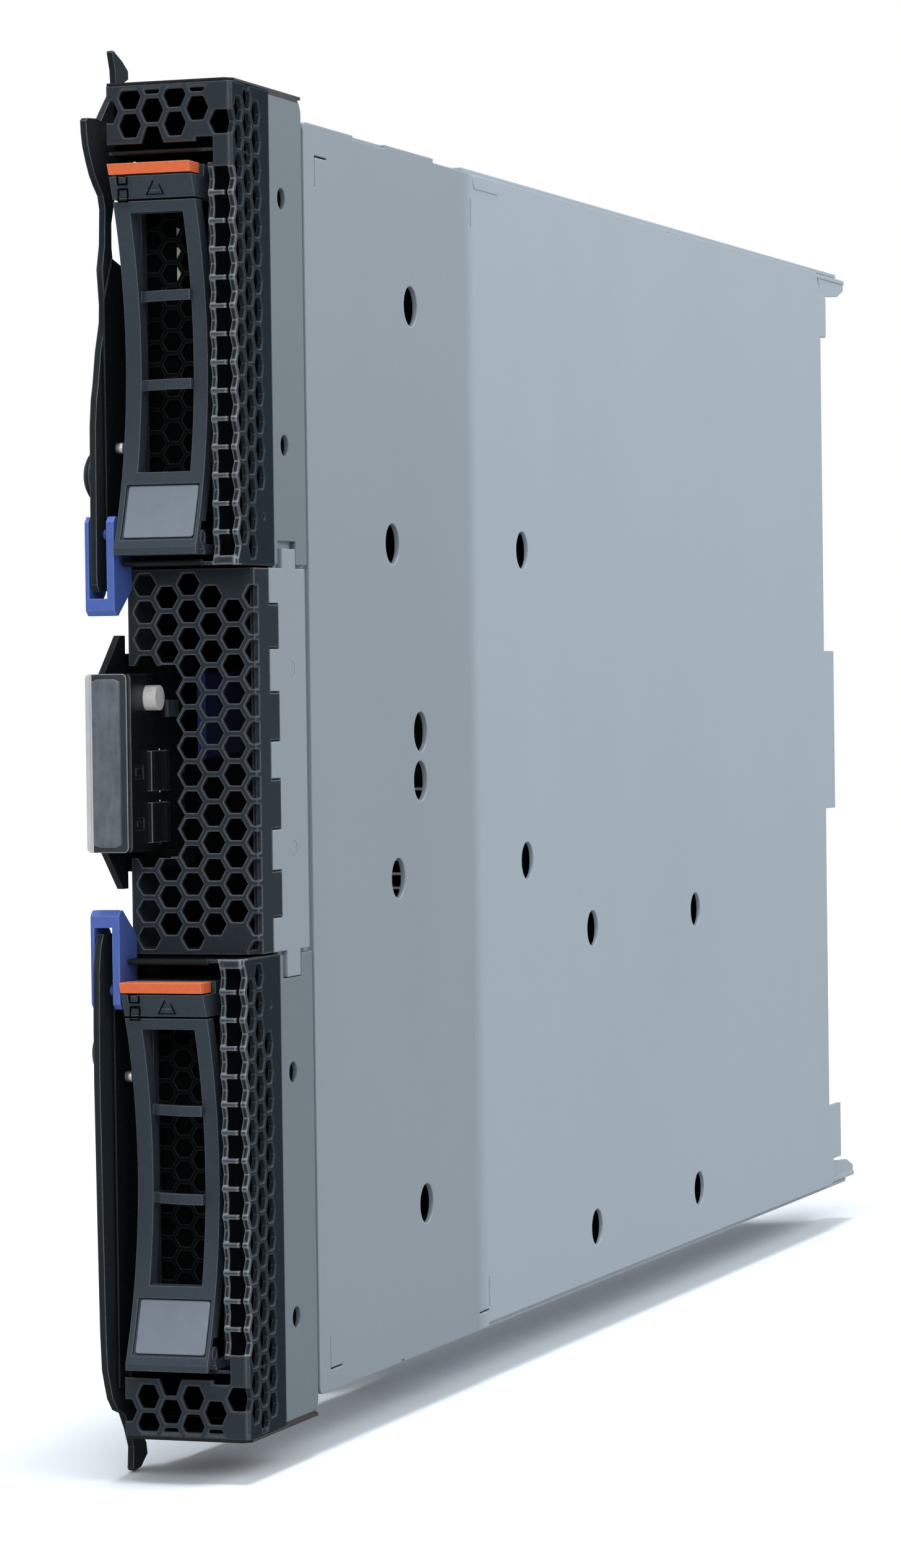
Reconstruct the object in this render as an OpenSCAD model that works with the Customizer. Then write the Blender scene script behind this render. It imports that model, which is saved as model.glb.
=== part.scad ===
// Blade server with two drive trays, folding levers and a hinged cover.
// Millimetres. X runs from the cover side to the base panel side, Y from the
// front face to the rear, Z up. The origin is the front lower corner of the
// blade's bay envelope, on the cover side.

/* [Blade envelope] */
// width over everything, cover side to base panel
blade_w = 29; // [28.5:0.5:31]
// height of the front unit
blade_h = 245; // [243:1:249]
// length of the base panel, front edge to rear edge
panel_len = 376.7; // [372:1:390]
// thickness of the steel sheet
sheet = 1.0; // [0.8:0.1:1.1]
// wall thickness of the black front plastic
wall = 1.0; // [0.9:0.1:1.2]

/* [Honeycomb] */
// pitch of the honeycomb holes up the front
hex_pitch = 5.08; // [5:0.01:5.12]
// width across flats of a honeycomb hole
hex_flat = 4.13; // [3.6:0.1:4.3]
// pitch of the honeycomb of the middle grille
mid_pitch = 4.95; // [4.9:0.01:5]
// distance of the middle grille behind the front face
mid_recess = 8.0; // [7:0.25:9]

/* [Drive trays] */
// height of a 2.5 inch drive
drive_h = 69.85; // [69.6:0.05:69.9]
// length of a 2.5 inch drive
drive_l = 100.2; // [99:0.2:100.4]
// thickness of a drive
drive_t = 14.9; // [9.5:0.1:15]
// depth of the hollow in the curved tray front
front_dish = 7.7; // [6:0.1:8]
// width of a tray front
front_w = 15.9; // [15.5:0.1:16]

/* [Levers] */
// thickness of the lever plate
lever_t = 1.2; // [1:0.1:1.3]
// radius of the lever pivot pin
pivot_r = 2.0; // [1.6:0.1:2.4]
// radius of the bumper on the lever
disc_r = 4.2; // [3.5:0.1:4.8]

/* [Control panel] */
// height of the control panel
panel_h = 32.2; // [31.6:0.1:32.6]
// radius of the round button
power_r = 2.3; // [1.8:0.1:2.5]

/* [Panel holes] */
// diameter of the round holes in the base panel
hole_d = 8.0; // [6:0.5:9]
// diameter of the holes in the front strips
strip_hole_d = 4.0; // [3:0.25:4.5]

/* [Board] */
// number of memory sockets in one bank
bank_n = 6; // [4:1:6]
// height of a memory module
dimm_h = 17.4; // [15:0.2:17.6]
// number of fins on a processor heat sink
fin_n = 30; // [20:1:34]

/* [Hidden] */
$fn = 48;
e = 0.02;
xp = blade_w;               // outer plane of the base panel
xi = xp - sheet;            // its inner plane
zm = blade_h / 2;
cap_t = 0.5;
ztop = blade_h - cap_t;     // top of the black front unit
yb = 18.5;                  // black front ends here
ys = 35.0;                  // metal strips end here
y0 = ys + 1.3;              // base panel starts here
y1 = y0 + panel_len;        // and ends here
ybf = y0 + 73.3;            // front part of the upper flange ends
ybg = y0 + 99.4;            // front part of the lower flange ends
bz0 = 3.6;                  // lower edge of the front part
bz1 = blade_h - 4.3;        // upper edge of the front part
jog = 0.8;                  // the rear part sits this much inside it
x_left = 4.8;               // left edge of the black front
hex_col = hex_pitch * 0.866;
xl = xp - 2.4;              // corner column of honeycomb
mod_z = 12.8;               // lower drive module
mod_h = drive_h + 0.35;
mod_top = 14.9;             // top of the blade down to the upper module
mod_up = blade_h - mod_top - mod_h - mod_z; // distance up to the upper module
mid = mod_z + mod_up - zm - 2.4; // half height of the middle zone
ms = mid / 35;
band_up = blade_h - mod_top + 0.9;  // lower edge of the mesh above the drives
band_lo = blade_h - mod_z + 0.9;    // the same under them, turned over
drive_y = 12.2;             // front of a drive
tray_y = drive_y + drive_l - 2.4;
cage_y = drive_y + drive_l - 4.8;
back_y = drive_y + drive_l + 5.0;   // drive backplane
strip_z = [19.7, 64.9, blade_h - 64.9, blade_h - 19.7];
fx0 = 6.4;                  // left edge of a tray front
fx1 = fx0 + front_w;
arc_r = (mod_h * mod_h / 4 + front_dish * front_dish) / (2 * front_dish);
arc_y = -4.0 + front_dish - arc_r;
board_x1 = xp - 3.9;        // board, outer face
board_x0 = board_x1 - 1.6;  // board, component face
board_y0 = back_y - 1.8;
board_y1 = y1 - 3;
hinge_x = 4.0;
hinge_y = y1 + 17;
bank_p = 8.4;
mod_len = 133.35;           // length of a memory module
bank_y = board_y1 - 36.3 - mod_len / 2;

steel = [0.66, 0.70, 0.73];
black = [0.09, 0.09, 0.10];
grey = [0.36, 0.37, 0.38];
blue = [0.10, 0.32, 0.62];
orange = [0.80, 0.30, 0.14];
green = [0.08, 0.30, 0.18];
white = [0.90, 0.91, 0.92];

// ---- helpers ----

// box between two opposite corners
module bx(a, b) {
    translate(a) cube([b[0] - a[0], b[1] - a[1], b[2] - a[2]]);
}

// drawing in (Y, Z), thick along X
module yz(x0, x1) {
    translate([x0, 0, 0]) rotate([90, 0, 90]) linear_extrude(x1 - x0) children();
}

// drawing in (X, Z), thick along Y
module xz(ya, yb1) {
    translate([0, yb1, 0]) rotate([90, 0, 0]) linear_extrude(yb1 - ya) children();
}

// drawing in (X, Y), thick along Z
module xy(z0, z1) {
    translate([0, 0, z0]) linear_extrude(z1 - z0) children();
}

module rodx(x0, x1, y, z, r) {
    translate([x0, y, z]) rotate([0, 90, 0]) cylinder(h = x1 - x0, r = r);
}

// long round bar that shapes the hollow tray front
module arcx(x0, x1, y, z) {
    translate([x0, y, z]) rotate([0, 90, 0]) cylinder(h = x1 - x0, r = arc_r, $fn = 300);
}

module rody(ya, yb1, x, z, r) {
    translate([x, ya, z]) rotate([-90, 0, 0]) cylinder(h = yb1 - ya, r = r);
}

module rodz(z0, z1, x, y, r) {
    translate([x, y, z0]) cylinder(h = z1 - z0, r = r);
}

// the same thing turned over about mid-height
module flip() {
    translate([0, 0, blade_h]) mirror([0, 0, 1]) children();
}

// a column of honeycomb holes in a drawing
module hexes(x, z, pitch, n, flat) {
    for (k = [0 : n - 1]) translate([x, z + k * pitch]) circle(d = flat / cos(30), $fn = 6);
}

// rectangle by corners, in a drawing
module rc(a, b) {
    translate(a) square([b[0] - a[0], b[1] - a[1]]);
}

// rectangle by corners with round corners, in a drawing
module rr(a, b, r) {
    rc([a[0] + r, a[1]], [b[0] - r, b[1]]);
    rc([a[0], a[1] + r], [b[0], b[1] - r]);
    for (x = [a[0] + r, b[0] - r]) for (y = [a[1] + r, b[1] - r]) translate([x, y]) circle(r = r);
}

// ---- base panel and rear ----

panel_holes = [[58.7, 87.8], [46.3, 40.8], [127.7, 41.1], [61.4, 4.0], [61.0, -5.7],
    [47.3, -24.4], [128.7, -24.2], [174.1, -40.9], [255.1, -40.7], [61.4, -89.5],
    [174.8, -106.7], [255.6, -106.5]];

module panel_outline() {
    polygon([[y0, bz0 + 1.2], [y0 + 0.4, bz0 + 0.3], [y0 + 1.2, bz0], [ybg, bz0], [ybg, bz0 + jog],
        [y1 + 2.5, bz0 + jog], [y1 + 4.5, bz0 + jog + 2], [y1 + 4.5, 10.9], [y1 + 12, 10.9],
        [y1 + 12, 24.9], [y1 + 0.6, 24.9], [y1 + 0.6, zm - 20.6], [y1 + 10, zm - 20.6],
        [y1 + 10, zm + 20.1], [y1 + 0.4, zm + 20.1], [y1 + 0.4, bz1 - 17.1],
        [y1 + 5.5, bz1 - 17.1], [y1 + 6, bz1 - 16.4], [y1 + 6, bz1 - 7.2], [y1 + 5.3, bz1 - 6.5],
        [y1, bz1 - 6.3], [y1 - 3, bz1 - jog], [ybf, bz1 - jog], [ybf, bz1],
        [y0 + 1.2, bz1], [y0 + 0.4, bz1 - 0.3], [y0, bz1 - 1.2]]);
}

// corner-shaped and straight slits near the flanges
module panel_slits() {
    for (s = [0, 1]) {
        za = s == 0 ? bz1 - 5.9 : bz0 + 4.1;
        zb = s == 0 ? bz1 - 11.7 : bz0 + 10.2;
        lo = min(za, zb);
        hi = max(za, zb);
        rc([y0 + 5.6, lo], [y0 + 6.0, hi]);
        rc([y0 + 5.6, za - 0.2], [y0 + 12.2, za + 0.2]);
        rc([y0 + 96.4 + 3.2 * s, lo], [y0 + 96.8 + 3.2 * s, hi]);
    }
    rc([y0 + 93.0, bz0 + 3.3], [y0 + 99.6, bz0 + 3.7]);
}

module base_tray() {
    color(steel) {
        difference() {
            union() {
                yz(xi, xp) difference() {
                    panel_outline();
                    for (h = panel_holes) translate([y0 + h[0], zm + h[1]]) circle(d = hole_d);
                    panel_slits();
                    rc([y0 + 26.7, bz1 - 0.7], [y0 + 44.8, bz1 + 1]);
                    rc([y0 + 238.4, bz1 - jog - 0.8], [y0 + 239.8, bz1]);
                    rc([y0 + 45.5, bz0 - 1], [y0 + 46.9, bz0 + 0.5]);
                }
                // joggled lip that carries the strips of the front
                bx([xi - sheet, yb + 1.5, bz0 + 2.4], [xi, y0 + 8, bz1 - 2.4]);
                // upper flange, front part and rear part
                bx([5.4, y0 + 0.6, bz1 - sheet], [xi + e, ybf, bz1]);
                bx([5.4, ybf - 1, bz1 - jog - sheet], [xi + e, y1 - 3, bz1 - jog]);
                bx([5.4, y0 + 0.6, bz0], [xi + e, ybg, bz0 + sheet]);
                bx([5.4, ybg - 1, bz0 + jog], [xi + e, y1 - 3, bz0 + jog + sheet]);
            }
            for (z = strip_z) rodx(xi - 2, xi + e, 24.3, z, 2.6);
            // rear part of the panel face lies a little lower
            bx([xp - 0.12, ybf + 22, -10], [xp + 1, y1 + 40, blade_h + 10]);
        }
        // raised pad on the upper edge
        yz(xp - 0.3, xp) rr([y0 + 98.4, bz1 - jog - 2.9], [y0 + 114.8, bz1 - jog - 0.15], 1.3);
    }
}

module rear_bracket() {
    color(steel) {
        // bulkhead behind the board
        xz(y1 + 2.5, y1 + 2.5 + sheet) difference() {
            rc([9.0, bz0 + jog + sheet], [xi, bz1 - jog - sheet]);
            for (z = [zm + 68, zm - 68]) rc([9.5, z - 17], [board_x1 - 0.3, z + 17]);
            for (z = [zm - 36 : 12 : zm + 36]) rr([12, z - 4.6], [24, z + 4.6], 1.5);
            for (z = [zm - 103, zm + 103]) rr([12, z - 6], [24, z + 6], 1.5);
        }
        // ears that carry the hinge studs
        for (s = [0, 1]) {
            z = s == 0 ? bz1 - jog - sheet : bz0 + jog;
            xy(z, z + sheet) {
                translate([hinge_x, hinge_y]) circle(r = 2.5);
                polygon([[5.4, y1 - 3], [xi, y1 - 3], [xi, y1 + 28.6], [22, y1 + 28.6],
                    [20, y1 + 20.6], [hinge_x, y1 + 20.6], [hinge_x, y1 + 13.4], [5.4, y1 + 10]]);
            }
        }
        // folded guide corner, upper
        yz(xi - 1.2, xi - 0.2) polygon([[y1 + 3, bz1 - 1.5], [y1 + 28.4, bz1 - 1.5],
            [y1 + 28.4, bz1 - 3.4], [y1 + 22, bz1 - 5.4], [y1 + 3, bz1 - 6.6]]);
        // folded guide corner, lower
        yz(xi - 1.2, xi - 0.2) polygon([[y1 + 3, bz0 + 1.5], [y1 + 28.4, bz0 + 1.5],
            [y1 + 28.4, bz0 + 3.4], [y1 + 22, bz0 + 5.4], [y1 + 3, bz0 + 6.6]]);
    }
}

// ---- metal of the front ----

module front_frame() {
    color(steel) {
        yz(xi, xp) difference() {
            union() {
                rc([yb, zm + mid + 0.8], [ys, ztop - 3]);
                rc([yb, ztop - 3.1], [ys - 3, ztop]);
                translate([ys - 3, ztop - 3]) circle(r = 3);
            }
            for (z = [strip_z[2], strip_z[3]]) translate([24.3, z]) circle(d = strip_hole_d);
            rc([19.9, zm + mid], [29.2, zm + mid + 5.1]);
        }
        xy(ztop, ztop + cap_t) polygon([[x_left, 0.3], [x_left + 0.3, 0], [xp - 1.4, 0], [xp, 1.4],
            [xp, ys], [xp - 1.9, ys + 1.9], [x_left, ys + 1.9]]);
        bx([x_left, yb, ztop - sheet], [xi, ys, ztop]);
    }
}

module front_frame_upper() { front_frame(); }
module front_frame_lower() { flip() front_frame(); }

module middle_bracket() {
    fingers = [[28.7, 35.1], [12.6, 20.3], [-3.3, 3.4], [-20.0, -12.7], [-35.0, -28.8]];
    color(steel) yz(xi, xp) difference() {
        union() {
            rc([20.0, zm - mid], [33.7, zm + mid + 0.1]);
            for (f = fingers) rc([15.5, zm + f[0] * ms], [20.1, zm + f[1] * ms]);
            rc([22.2, zm + mid], [28.9, zm + mid + 3.7]);
            rc([22.2, zm - mid - 4.9], [28.9, zm - mid + 0.1]);
        }
        for (s = [-1, 1]) translate([26.5, zm + s * 16.5 * ms]) circle(d = 3);
    }
}

// ---- black front ----

// hole centres of the two families of columns, counted down from the top
top_a = ztop - 7.7;
top_b = ztop - 5.1;

module chamfer_cut(ycorner) {
    xy(-20, blade_h + 20) polygon([[xp - 1.4, ycorner - e], [xp + 1, ycorner - e], [xp + 1, ycorner + 1.4],
        [xp, ycorner + 1.4]]);
}

module cage_bezel(band) {
    lo = zm + mid + 1.1;
    n = floor((ztop - lo + 0.9) / hex_pitch);
    difference() {
        union() {
            xz(0, wall) difference() {
                union() {
                    rc([x_left, band], [xp, ztop]);
                    rc([23.1, lo], [xp, band + 1]);
                }
                intersection() {
                    rc([x_left - 1, band - 1], [xl - hex_col + 1.6, ztop - 0.6]);
                    for (i = [1 : 5]) hexes(xl - i * hex_col,
                        (i % 2 == 0 ? top_a : top_b) - 2 * hex_pitch, hex_pitch, 4, hex_flat);
                }
            }
            yz(xp - wall, xp) difference() {
                rc([0, lo], [yb, ztop]);
                for (i = [0, 2]) hexes(3.6 + 4.25 * i, top_b - (n - 1) * hex_pitch, hex_pitch, n, hex_flat);
                hexes(3.6 + 4.25, top_a - (n - 1) * hex_pitch, hex_pitch, n + 1, hex_flat);
                translate([16.6, zm + mid + 9.4]) circle(d = 1.0);
            }
            // ceiling, wall over the drive opening, guide wall and side wall
            bx([x_left, 0, ztop - wall], [xp, yb, ztop]);
            bx([x_left, 0.5, band], [xp - 0.5, yb, band + 0.7]);
            bx([22.9, 0.5, lo], [23.5, yb, band + e]);
            bx([x_left, 0.5, band + e], [x_left + wall, yb, ztop - e]);
            // shelf under the drive opening
            bx([fx0, 0.45, lo - 0.7], [xi, yb, lo + 0.2]);
            rodx(fx0, 22.6, 0.45, lo - 0.25, 0.45);
        }
        chamfer_cut(0);
        // open ladder of holes round the corner
        for (k = [0 : n - 1]) translate([xl, wall + 0.2, top_a - (k - 1) * hex_pitch]) rotate([90, 0, 0])
            linear_extrude(3) circle(d = hex_flat / cos(30), $fn = 6);
    }
}

module bezel_upper() { color(black) cage_bezel(band_up); }
module bezel_lower() { color(black) flip() cage_bezel(band_lo); }

module middle_grille() {
    ym = mid_recess;
    cx = mid_pitch * 0.866;
    n = floor(2 * mid / mid_pitch);
    za = zm + mid - 7.7;        // first row of the odd columns, counted down
    zb = zm + mid - 5.1;        // first row of the even columns
    hf = hex_flat - 0.2;
    fingers = [[28.4, 36], [12.3, 20.6], [-3.6, 3.7], [-20.3, -12.4], [-36, -28.5]];
    color(black) difference() {
        union() {
            xz(ym, ym + wall) difference() {
                rr([4.3, zm - mid], [xp, zm + mid], 1.0);
                hexes(xp - cx, za - (n - 3) * mid_pitch, mid_pitch, n - 2, hf);
                for (i = [3, 5]) hexes(xp - i * cx, za - (n - 2) * mid_pitch, mid_pitch, n, hf);
                for (i = [2, 4]) hexes(xp - i * cx, zb - (n - 2) * mid_pitch, mid_pitch, n - 1, hf);
                // opening of the control panel, its right edge follows the honeycomb
                rc([4.2, zm - panel_h / 2 - 1.4], [12.0, zm + panel_h / 2 + 1.4]);
                hexes(xp - 4 * cx, zm - 14.65, mid_pitch, 7, mid_pitch + 0.25);
            }
            yz(xp - wall, xp) difference() {
                rc([ym, zm - mid], [20.0, zm + mid]);
                for (f = fingers) rc([15.2, zm + f[0] * ms], [21, zm + f[1] * ms]);
            }
            bx([4.3, ym, zm + mid - 0.8], [xi, yb, zm + mid]);
            bx([4.3, ym, zm - mid], [xi, yb, zm - mid + 0.8]);
            bx([xi - 1.4, ym + 4, zm - mid + 0.5], [xi - 0.2, yb, zm + mid - 0.5]);
            // side walls beside the control panel
            bx([4.3, ym + 0.5, zm + panel_h / 2 + 2.2], [5.3, yb, zm + mid]);
            bx([4.3, ym + 0.5, zm - mid], [5.3, yb, zm - panel_h / 2 - 2.2]);
        }
        for (k = [0 : n - 1]) translate([xp, ym + 2.0, zb - k * mid_pitch]) rotate([90, 0, 0])
            linear_extrude(4) circle(d = hf / cos(30), $fn = 6);
    }
}

// ---- drive cages ----

module drive_cage(band) {
    color(steel) {
        // left wall with air holes, with a bay for the control panel
        yz(4.6, 5.4) difference() {
            rc([yb + 0.6, zm + 0.2], [cage_y, bz1 - sheet]);
            rc([yb, zm - 1], [26.5, zm + panel_h / 2 + 1.5]);
            for (i = [0 : 4]) hexes(24 + i * 5.6, zm + mid + 7 + (i % 2) * 3.2, 6.4,
                floor((mod_h - 6) / 6.4), 5.2);
            for (i = [0 : 3]) rr([58 + i * 12, zm + mid + 17], [65 + i * 12, band - 12.5], 2);
        }
        bx([4.6, yb + 0.6, bz1 - 2 * sheet], [xi - sheet, cage_y, bz1 - sheet]);
        bx([5.4 - e, yb + 0.6, band], [xi - sheet, cage_y, band + 0.8]);
        // floor with a foot on the panel
        bx([5.4 - e, yb + 0.6, zm + mid + 0.8], [xi - sheet, cage_y, zm + mid + 1.6]);
        bx([xi - sheet - 0.8, y0 + 9, zm + mid - 7], [xi - sheet, cage_y, zm + mid + 1.6]);
        for (y = [y0 + 14, cage_y - 10]) rodx(xi - sheet - e, xi, y, zm + mid - 3, 2.5);
    }
}

module drive_cage_upper() { drive_cage(band_up); }
module drive_cage_lower() { flip() drive_cage(band_lo); }

// ---- levers ----

// outlines are read from the top down, in (Y, Z)
upper_outline = [[8.6, 251.8], [9.0, 252.1], [13.1, 250.6], [15.8, 249.1], [15.9, 247.6],
    [13.4, 246.6], [15.2, 243.0], [17.6, 240.0], [18.8, 236.4], [17.9, 232.6], [15.0, 230.2],
    [11.4, 228.4], [8.6, 225.0], [6.9, 220.5], [6.8, 216.0], [8.2, 209.4], [8.0, 203.0],
    [6.2, 197.0], [4.9, 190.0], [4.4, 180.0], [4.2, 168.0], [4.0, 157.0], [2.4, 153.6],
    [-1.2, 153.4], [-2.1, 154.7], [-2.2, 157.5], [-2.1, 165.3], [-1.8, 183.2], [-1.1, 188.2],
    [-0.2, 191.0], [1.1, 196.8], [3.1, 202.3], [3.3, 205.5], [2.4, 211.8], [3.7, 216.4],
    [4.1, 222.9], [3.3, 225.2], [1.3, 226.9], [-0.4, 228.6], [-1.9, 230.9], [-3.3, 233.6],
    [-3.9, 236.0], [-4.1, 238.1], [-3.4, 238.6], [1.7, 239.0], [2.7, 238.7], [4.9, 240.8],
    [8.2, 243.8], [10.1, 245.9], [9.8, 248.7]];

lower_outline = [[-1.6, 91.6], [-2.8, 89.4], [-3.8, 85.0], [-4.1, 75.0], [-4.2, 65.0],
    [-3.7, 40.0], [-3.2, 20.0], [-2.6, 12.7], [-1.5, 9.8], [-0.4, 7.2], [1.9, 4.8], [4.9, 3.8],
    [7.2, 0.7], [9.1, -3.0], [8.7, -6.9], [9.4, -7.4], [12.4, -7.1], [15.5, -5.1],
    [15.0, -3.0], [13.4, -1.5], [15.2, 2.0], [17.6, 5.0], [18.8, 8.6], [17.9, 12.4],
    [15.0, 14.8], [11.4, 17.5], [8.8, 22.0], [7.6, 30.0], [7.0, 50.0], [6.4, 68.0],
    [5.4, 84.0], [4.0, 90.6], [2.4, 91.6]];

pivot_y = 14.0;
pivot_z = 9.0;
lx0 = 2.6 - lever_t;
lx1 = 2.6;

// the heads keep their size; the arms between them reach to mid-height
function reach(d) = d < 22 ? d : 22 + (d - 22) * (zm - 52.9) / 69.6;

latch_z = reach(81.2);

module lever_upper() {
    color(black) yz(lx0, lx1) difference() {
        polygon([for (p = upper_outline) [p[0], blade_h - reach(245 - p[1])]]);
        translate([pivot_y, blade_h - pivot_z]) circle(r = pivot_r);
        translate([2.0, blade_h - latch_z]) circle(r = 1.05);
    }
}

module lever_lower() {
    color(black) yz(lx0, lx1) difference() {
        polygon([for (p = lower_outline) [p[0], reach(p[1])]]);
        translate([pivot_y, pivot_z]) circle(r = pivot_r);
        translate([2.0, latch_z]) circle(r = 1.05);
    }
}

module lever_disc(z) {
    color(grey) {
        rodx(0.5, lx0, 1.8, z, disc_r);
        rodx(0, 0.5 + e, 1.8, z, disc_r - 0.8);
    }
}

module lever_disc_upper() { lever_disc(blade_h - reach(70.6)); }
module lever_disc_lower() { lever_disc(reach(70.0)); }

module lever_pivots() {
    color(steel) for (z = [pivot_z, blade_h - pivot_z]) {
        rodx(lx0 - 0.4, x_left, pivot_y, z, pivot_r - 0.05);
        rodx(lx0 - 1.0, lx0 - 0.3, pivot_y, z, pivot_r + 1.2);
        rodx(lx1 + 0.3, x_left, pivot_y, z, pivot_r + 1.4);
    }
}

// spring latch that holds the lever closed, upper one
module latch() {
    z0 = blade_h - latch_z - 14.7;
    z1 = blade_h - latch_z + 3.2;
    color(blue) {
        // outer wall, floor and inner wall of the cup
        yz(0.4, 1.1) polygon([[-2.4, z0 + 1.0], [-1.4, z0], [1.2, z0], [5.4, z0 + 4.2],
            [5.4, z1 - 4], [3.4, z1], [-1.4, z1], [-2.4, z1 - 1.0]]);
        yz(1.1 - e, 4.6 + e) polygon([[-2.4, z0 + 1.0], [-1.4, z0], [1.2, z0], [4.2, z0 + 3.1],
            [-2.4, z0 + 3.1]]);
        yz(4.6, 6.0) polygon([[-2.4, z0 + 1.0], [-1.4, z0], [-0.6, z0], [5.9, z0 + 4.8],
            [5.9, z1 - 1.6], [4.3, z1], [-1.4, z1], [-2.4, z1 - 1.0]]);
        rodx(1.1 - e, 4.6 + e, 2.0, blade_h - latch_z, 1.0);
    }
}

module latch_upper() { latch(); }
module latch_lower() { flip() latch(); }

// ---- drive modules (drawn for the lower bay) ----

module per_bay(i) {
    translate([0, 0, i * mod_up]) children();
}

mz0 = mod_z;
mz1 = mod_z + mod_h;
mzm = mod_z + mod_h / 2;

// body behind the hollow front curve, from depth ya to yb1 behind it
module curved(za, zb, x0, x1, depth) {
    difference() {
        bx([x0, -4.0, za], [x1, depth, zb]);
        arcx(x0 - 1, x1 + 1, arc_y, mzm);
    }
}

module drive_tray() {
    ya = 11;
    color(steel) {
        // screen behind the handle
        xz(ya, ya + 0.8) difference() {
            rc([fx0 + 0.4, mz0 - 0.4], [fx1, mz1 + 0.4]);
            for (i = [0 : 3]) hexes(fx0 + 2.6 + i * 3.55, mz0 + 4.2 + (i % 2) * 2.05, 4.1, 16, 3.3);
        }
        bx([fx1 - 0.8, ya, mz0 - 0.4], [fx1, tray_y, mz1 + 0.4]);
        bx([fx0 + 0.4, ya, mz0 - 0.4], [fx1, tray_y, mz0 + 0.1]);
        bx([fx0 + 0.4, ya, mz1 - 0.1], [fx1, tray_y, mz1 + 0.4]);
    }
}

module drive_tray_upper() { per_bay(1) drive_tray(); }
module drive_tray_lower() { per_bay(0) drive_tray(); }

module drive() {
    x1 = fx1 - 0.8;
    x0 = x1 - drive_t;
    za = mzm - drive_h / 2 + 0.1;
    zb = mzm + drive_h / 2 - 0.1;
    ya = drive_y;
    yb1 = ya + drive_l;
    color([0.58, 0.59, 0.60]) difference() {
        union() {
            bx([x0 + 3.4, ya, za], [x1, yb1, zb]);
            bx([x0 + 0.5, ya + 1.5, za + 1.2], [x0 + 3.5, yb1 - 10, zb - 1.2]);
            rodx(x0, x0 + 1, ya + 36, mzm, 20);
        }
        // label recess and connector notch
        bx([x0 + 3, yb1 - 5, za + 10], [x1 - 6, yb1 + 1, za + 46]);
        for (y = [ya + 14, yb1 - 9.6]) for (z = [za, zb]) rodz(z - 2.5, z + 2.5, x1 - 3, y, 1.3);
    }
}

module drive_upper() { per_bay(1) drive(); }
module drive_lower() { per_bay(0) drive(); }

hz_top = mz1 - 6.6;         // seam between the handle and the cap
hp_y = 0.4;                 // handle hinge
hp_z = mz0 + 3.0;
bar_t = 1.9;

// where the hollow front lies at a height d from its middle
function dish(d) = arc_y + sqrt(arc_r * arc_r - d * d);

window_mids = [[fx0 + 2.2, mz1 - 3.0], [fx0 + 2.4, mz1 - 5.1]];

// cap, foot and back frame of the tray front
module tray_front() {
    color(grey) {
        difference() {
            union() {
                curved(hz_top + 0.4, mz1 - bar_t - 0.3, fx0, fx1, 9);
                bx([fx0, 3.2, mz1 - bar_t - 0.4], [fx1, 11, mz1]);
            }
            // grooves round two light windows, and a sunk mark
            for (p = window_mids) difference() {
                bx([p[0] - 0.95, -6, p[1] - 0.83], [p[0] + 0.95, -1.2, p[1] + 0.83]);
                bx([p[0] - 0.77, -7, p[1] - 0.65], [p[0] + 0.77, 0, p[1] + 0.65]);
            }
            intersection() {
                xz(-6, 0) polygon([[fx0 + 8.1, mz1 - 2.7], [fx0 + 9.5, mz1 - 4.8], [fx0 + 6.8, mz1 - 4.8]]);
                arcx(fx0, fx1, arc_y + 0.3, mzm);
            }
            bx([fx0 + 2, 5.2, hz_top - 1], [fx1 - 2, 12, mz1 - 3.2]);
        }
        // foot behind the handle
        bx([fx0, hp_y + 0.6, mz0], [fx1, 11, mz0 + 1.0]);
        // frame between them
        bx([fx0 + 0.2, 8.6, mz0 + 0.9], [fx0 + 1.4, 11, mz1 - 2]);
        bx([fx1 - 1.4, 8.6, mz0 + 0.9], [fx1 - 0.2, 11, mz1 - 2]);
        // cheeks that carry the handle hinge
        for (x = [fx0, fx1 - 1.2]) difference() {
            union() {
                bx([x, hp_y + 0.1, mz0 + 0.9], [x + 1.2, 11, mz0 + 1.8]);
                bx([x, hp_y + 0.1, mz0 + 0.9], [x + 1.2, hp_y + 1.4, hp_z]);
                rodx(x, x + 1.2, hp_y, hp_z, 1.4);
            }
            rodx(x - 1, x + 3, hp_y, hp_z, 0.8);
        }
    }
}

module tray_front_upper() { per_bay(1) tray_front(); }
module tray_front_lower() { per_bay(0) tray_front(); }

// curved wall of the handle between two heights
module handle_wall(za, zb, t) {
    intersection() {
        difference() {
            arcx(fx0, fx1, arc_y + t, mzm);
            arcx(fx0 - 1, fx1 + 1, arc_y, mzm);
        }
        bx([fx0, -6, za], [fx1, 12, zb]);
    }
}

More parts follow.
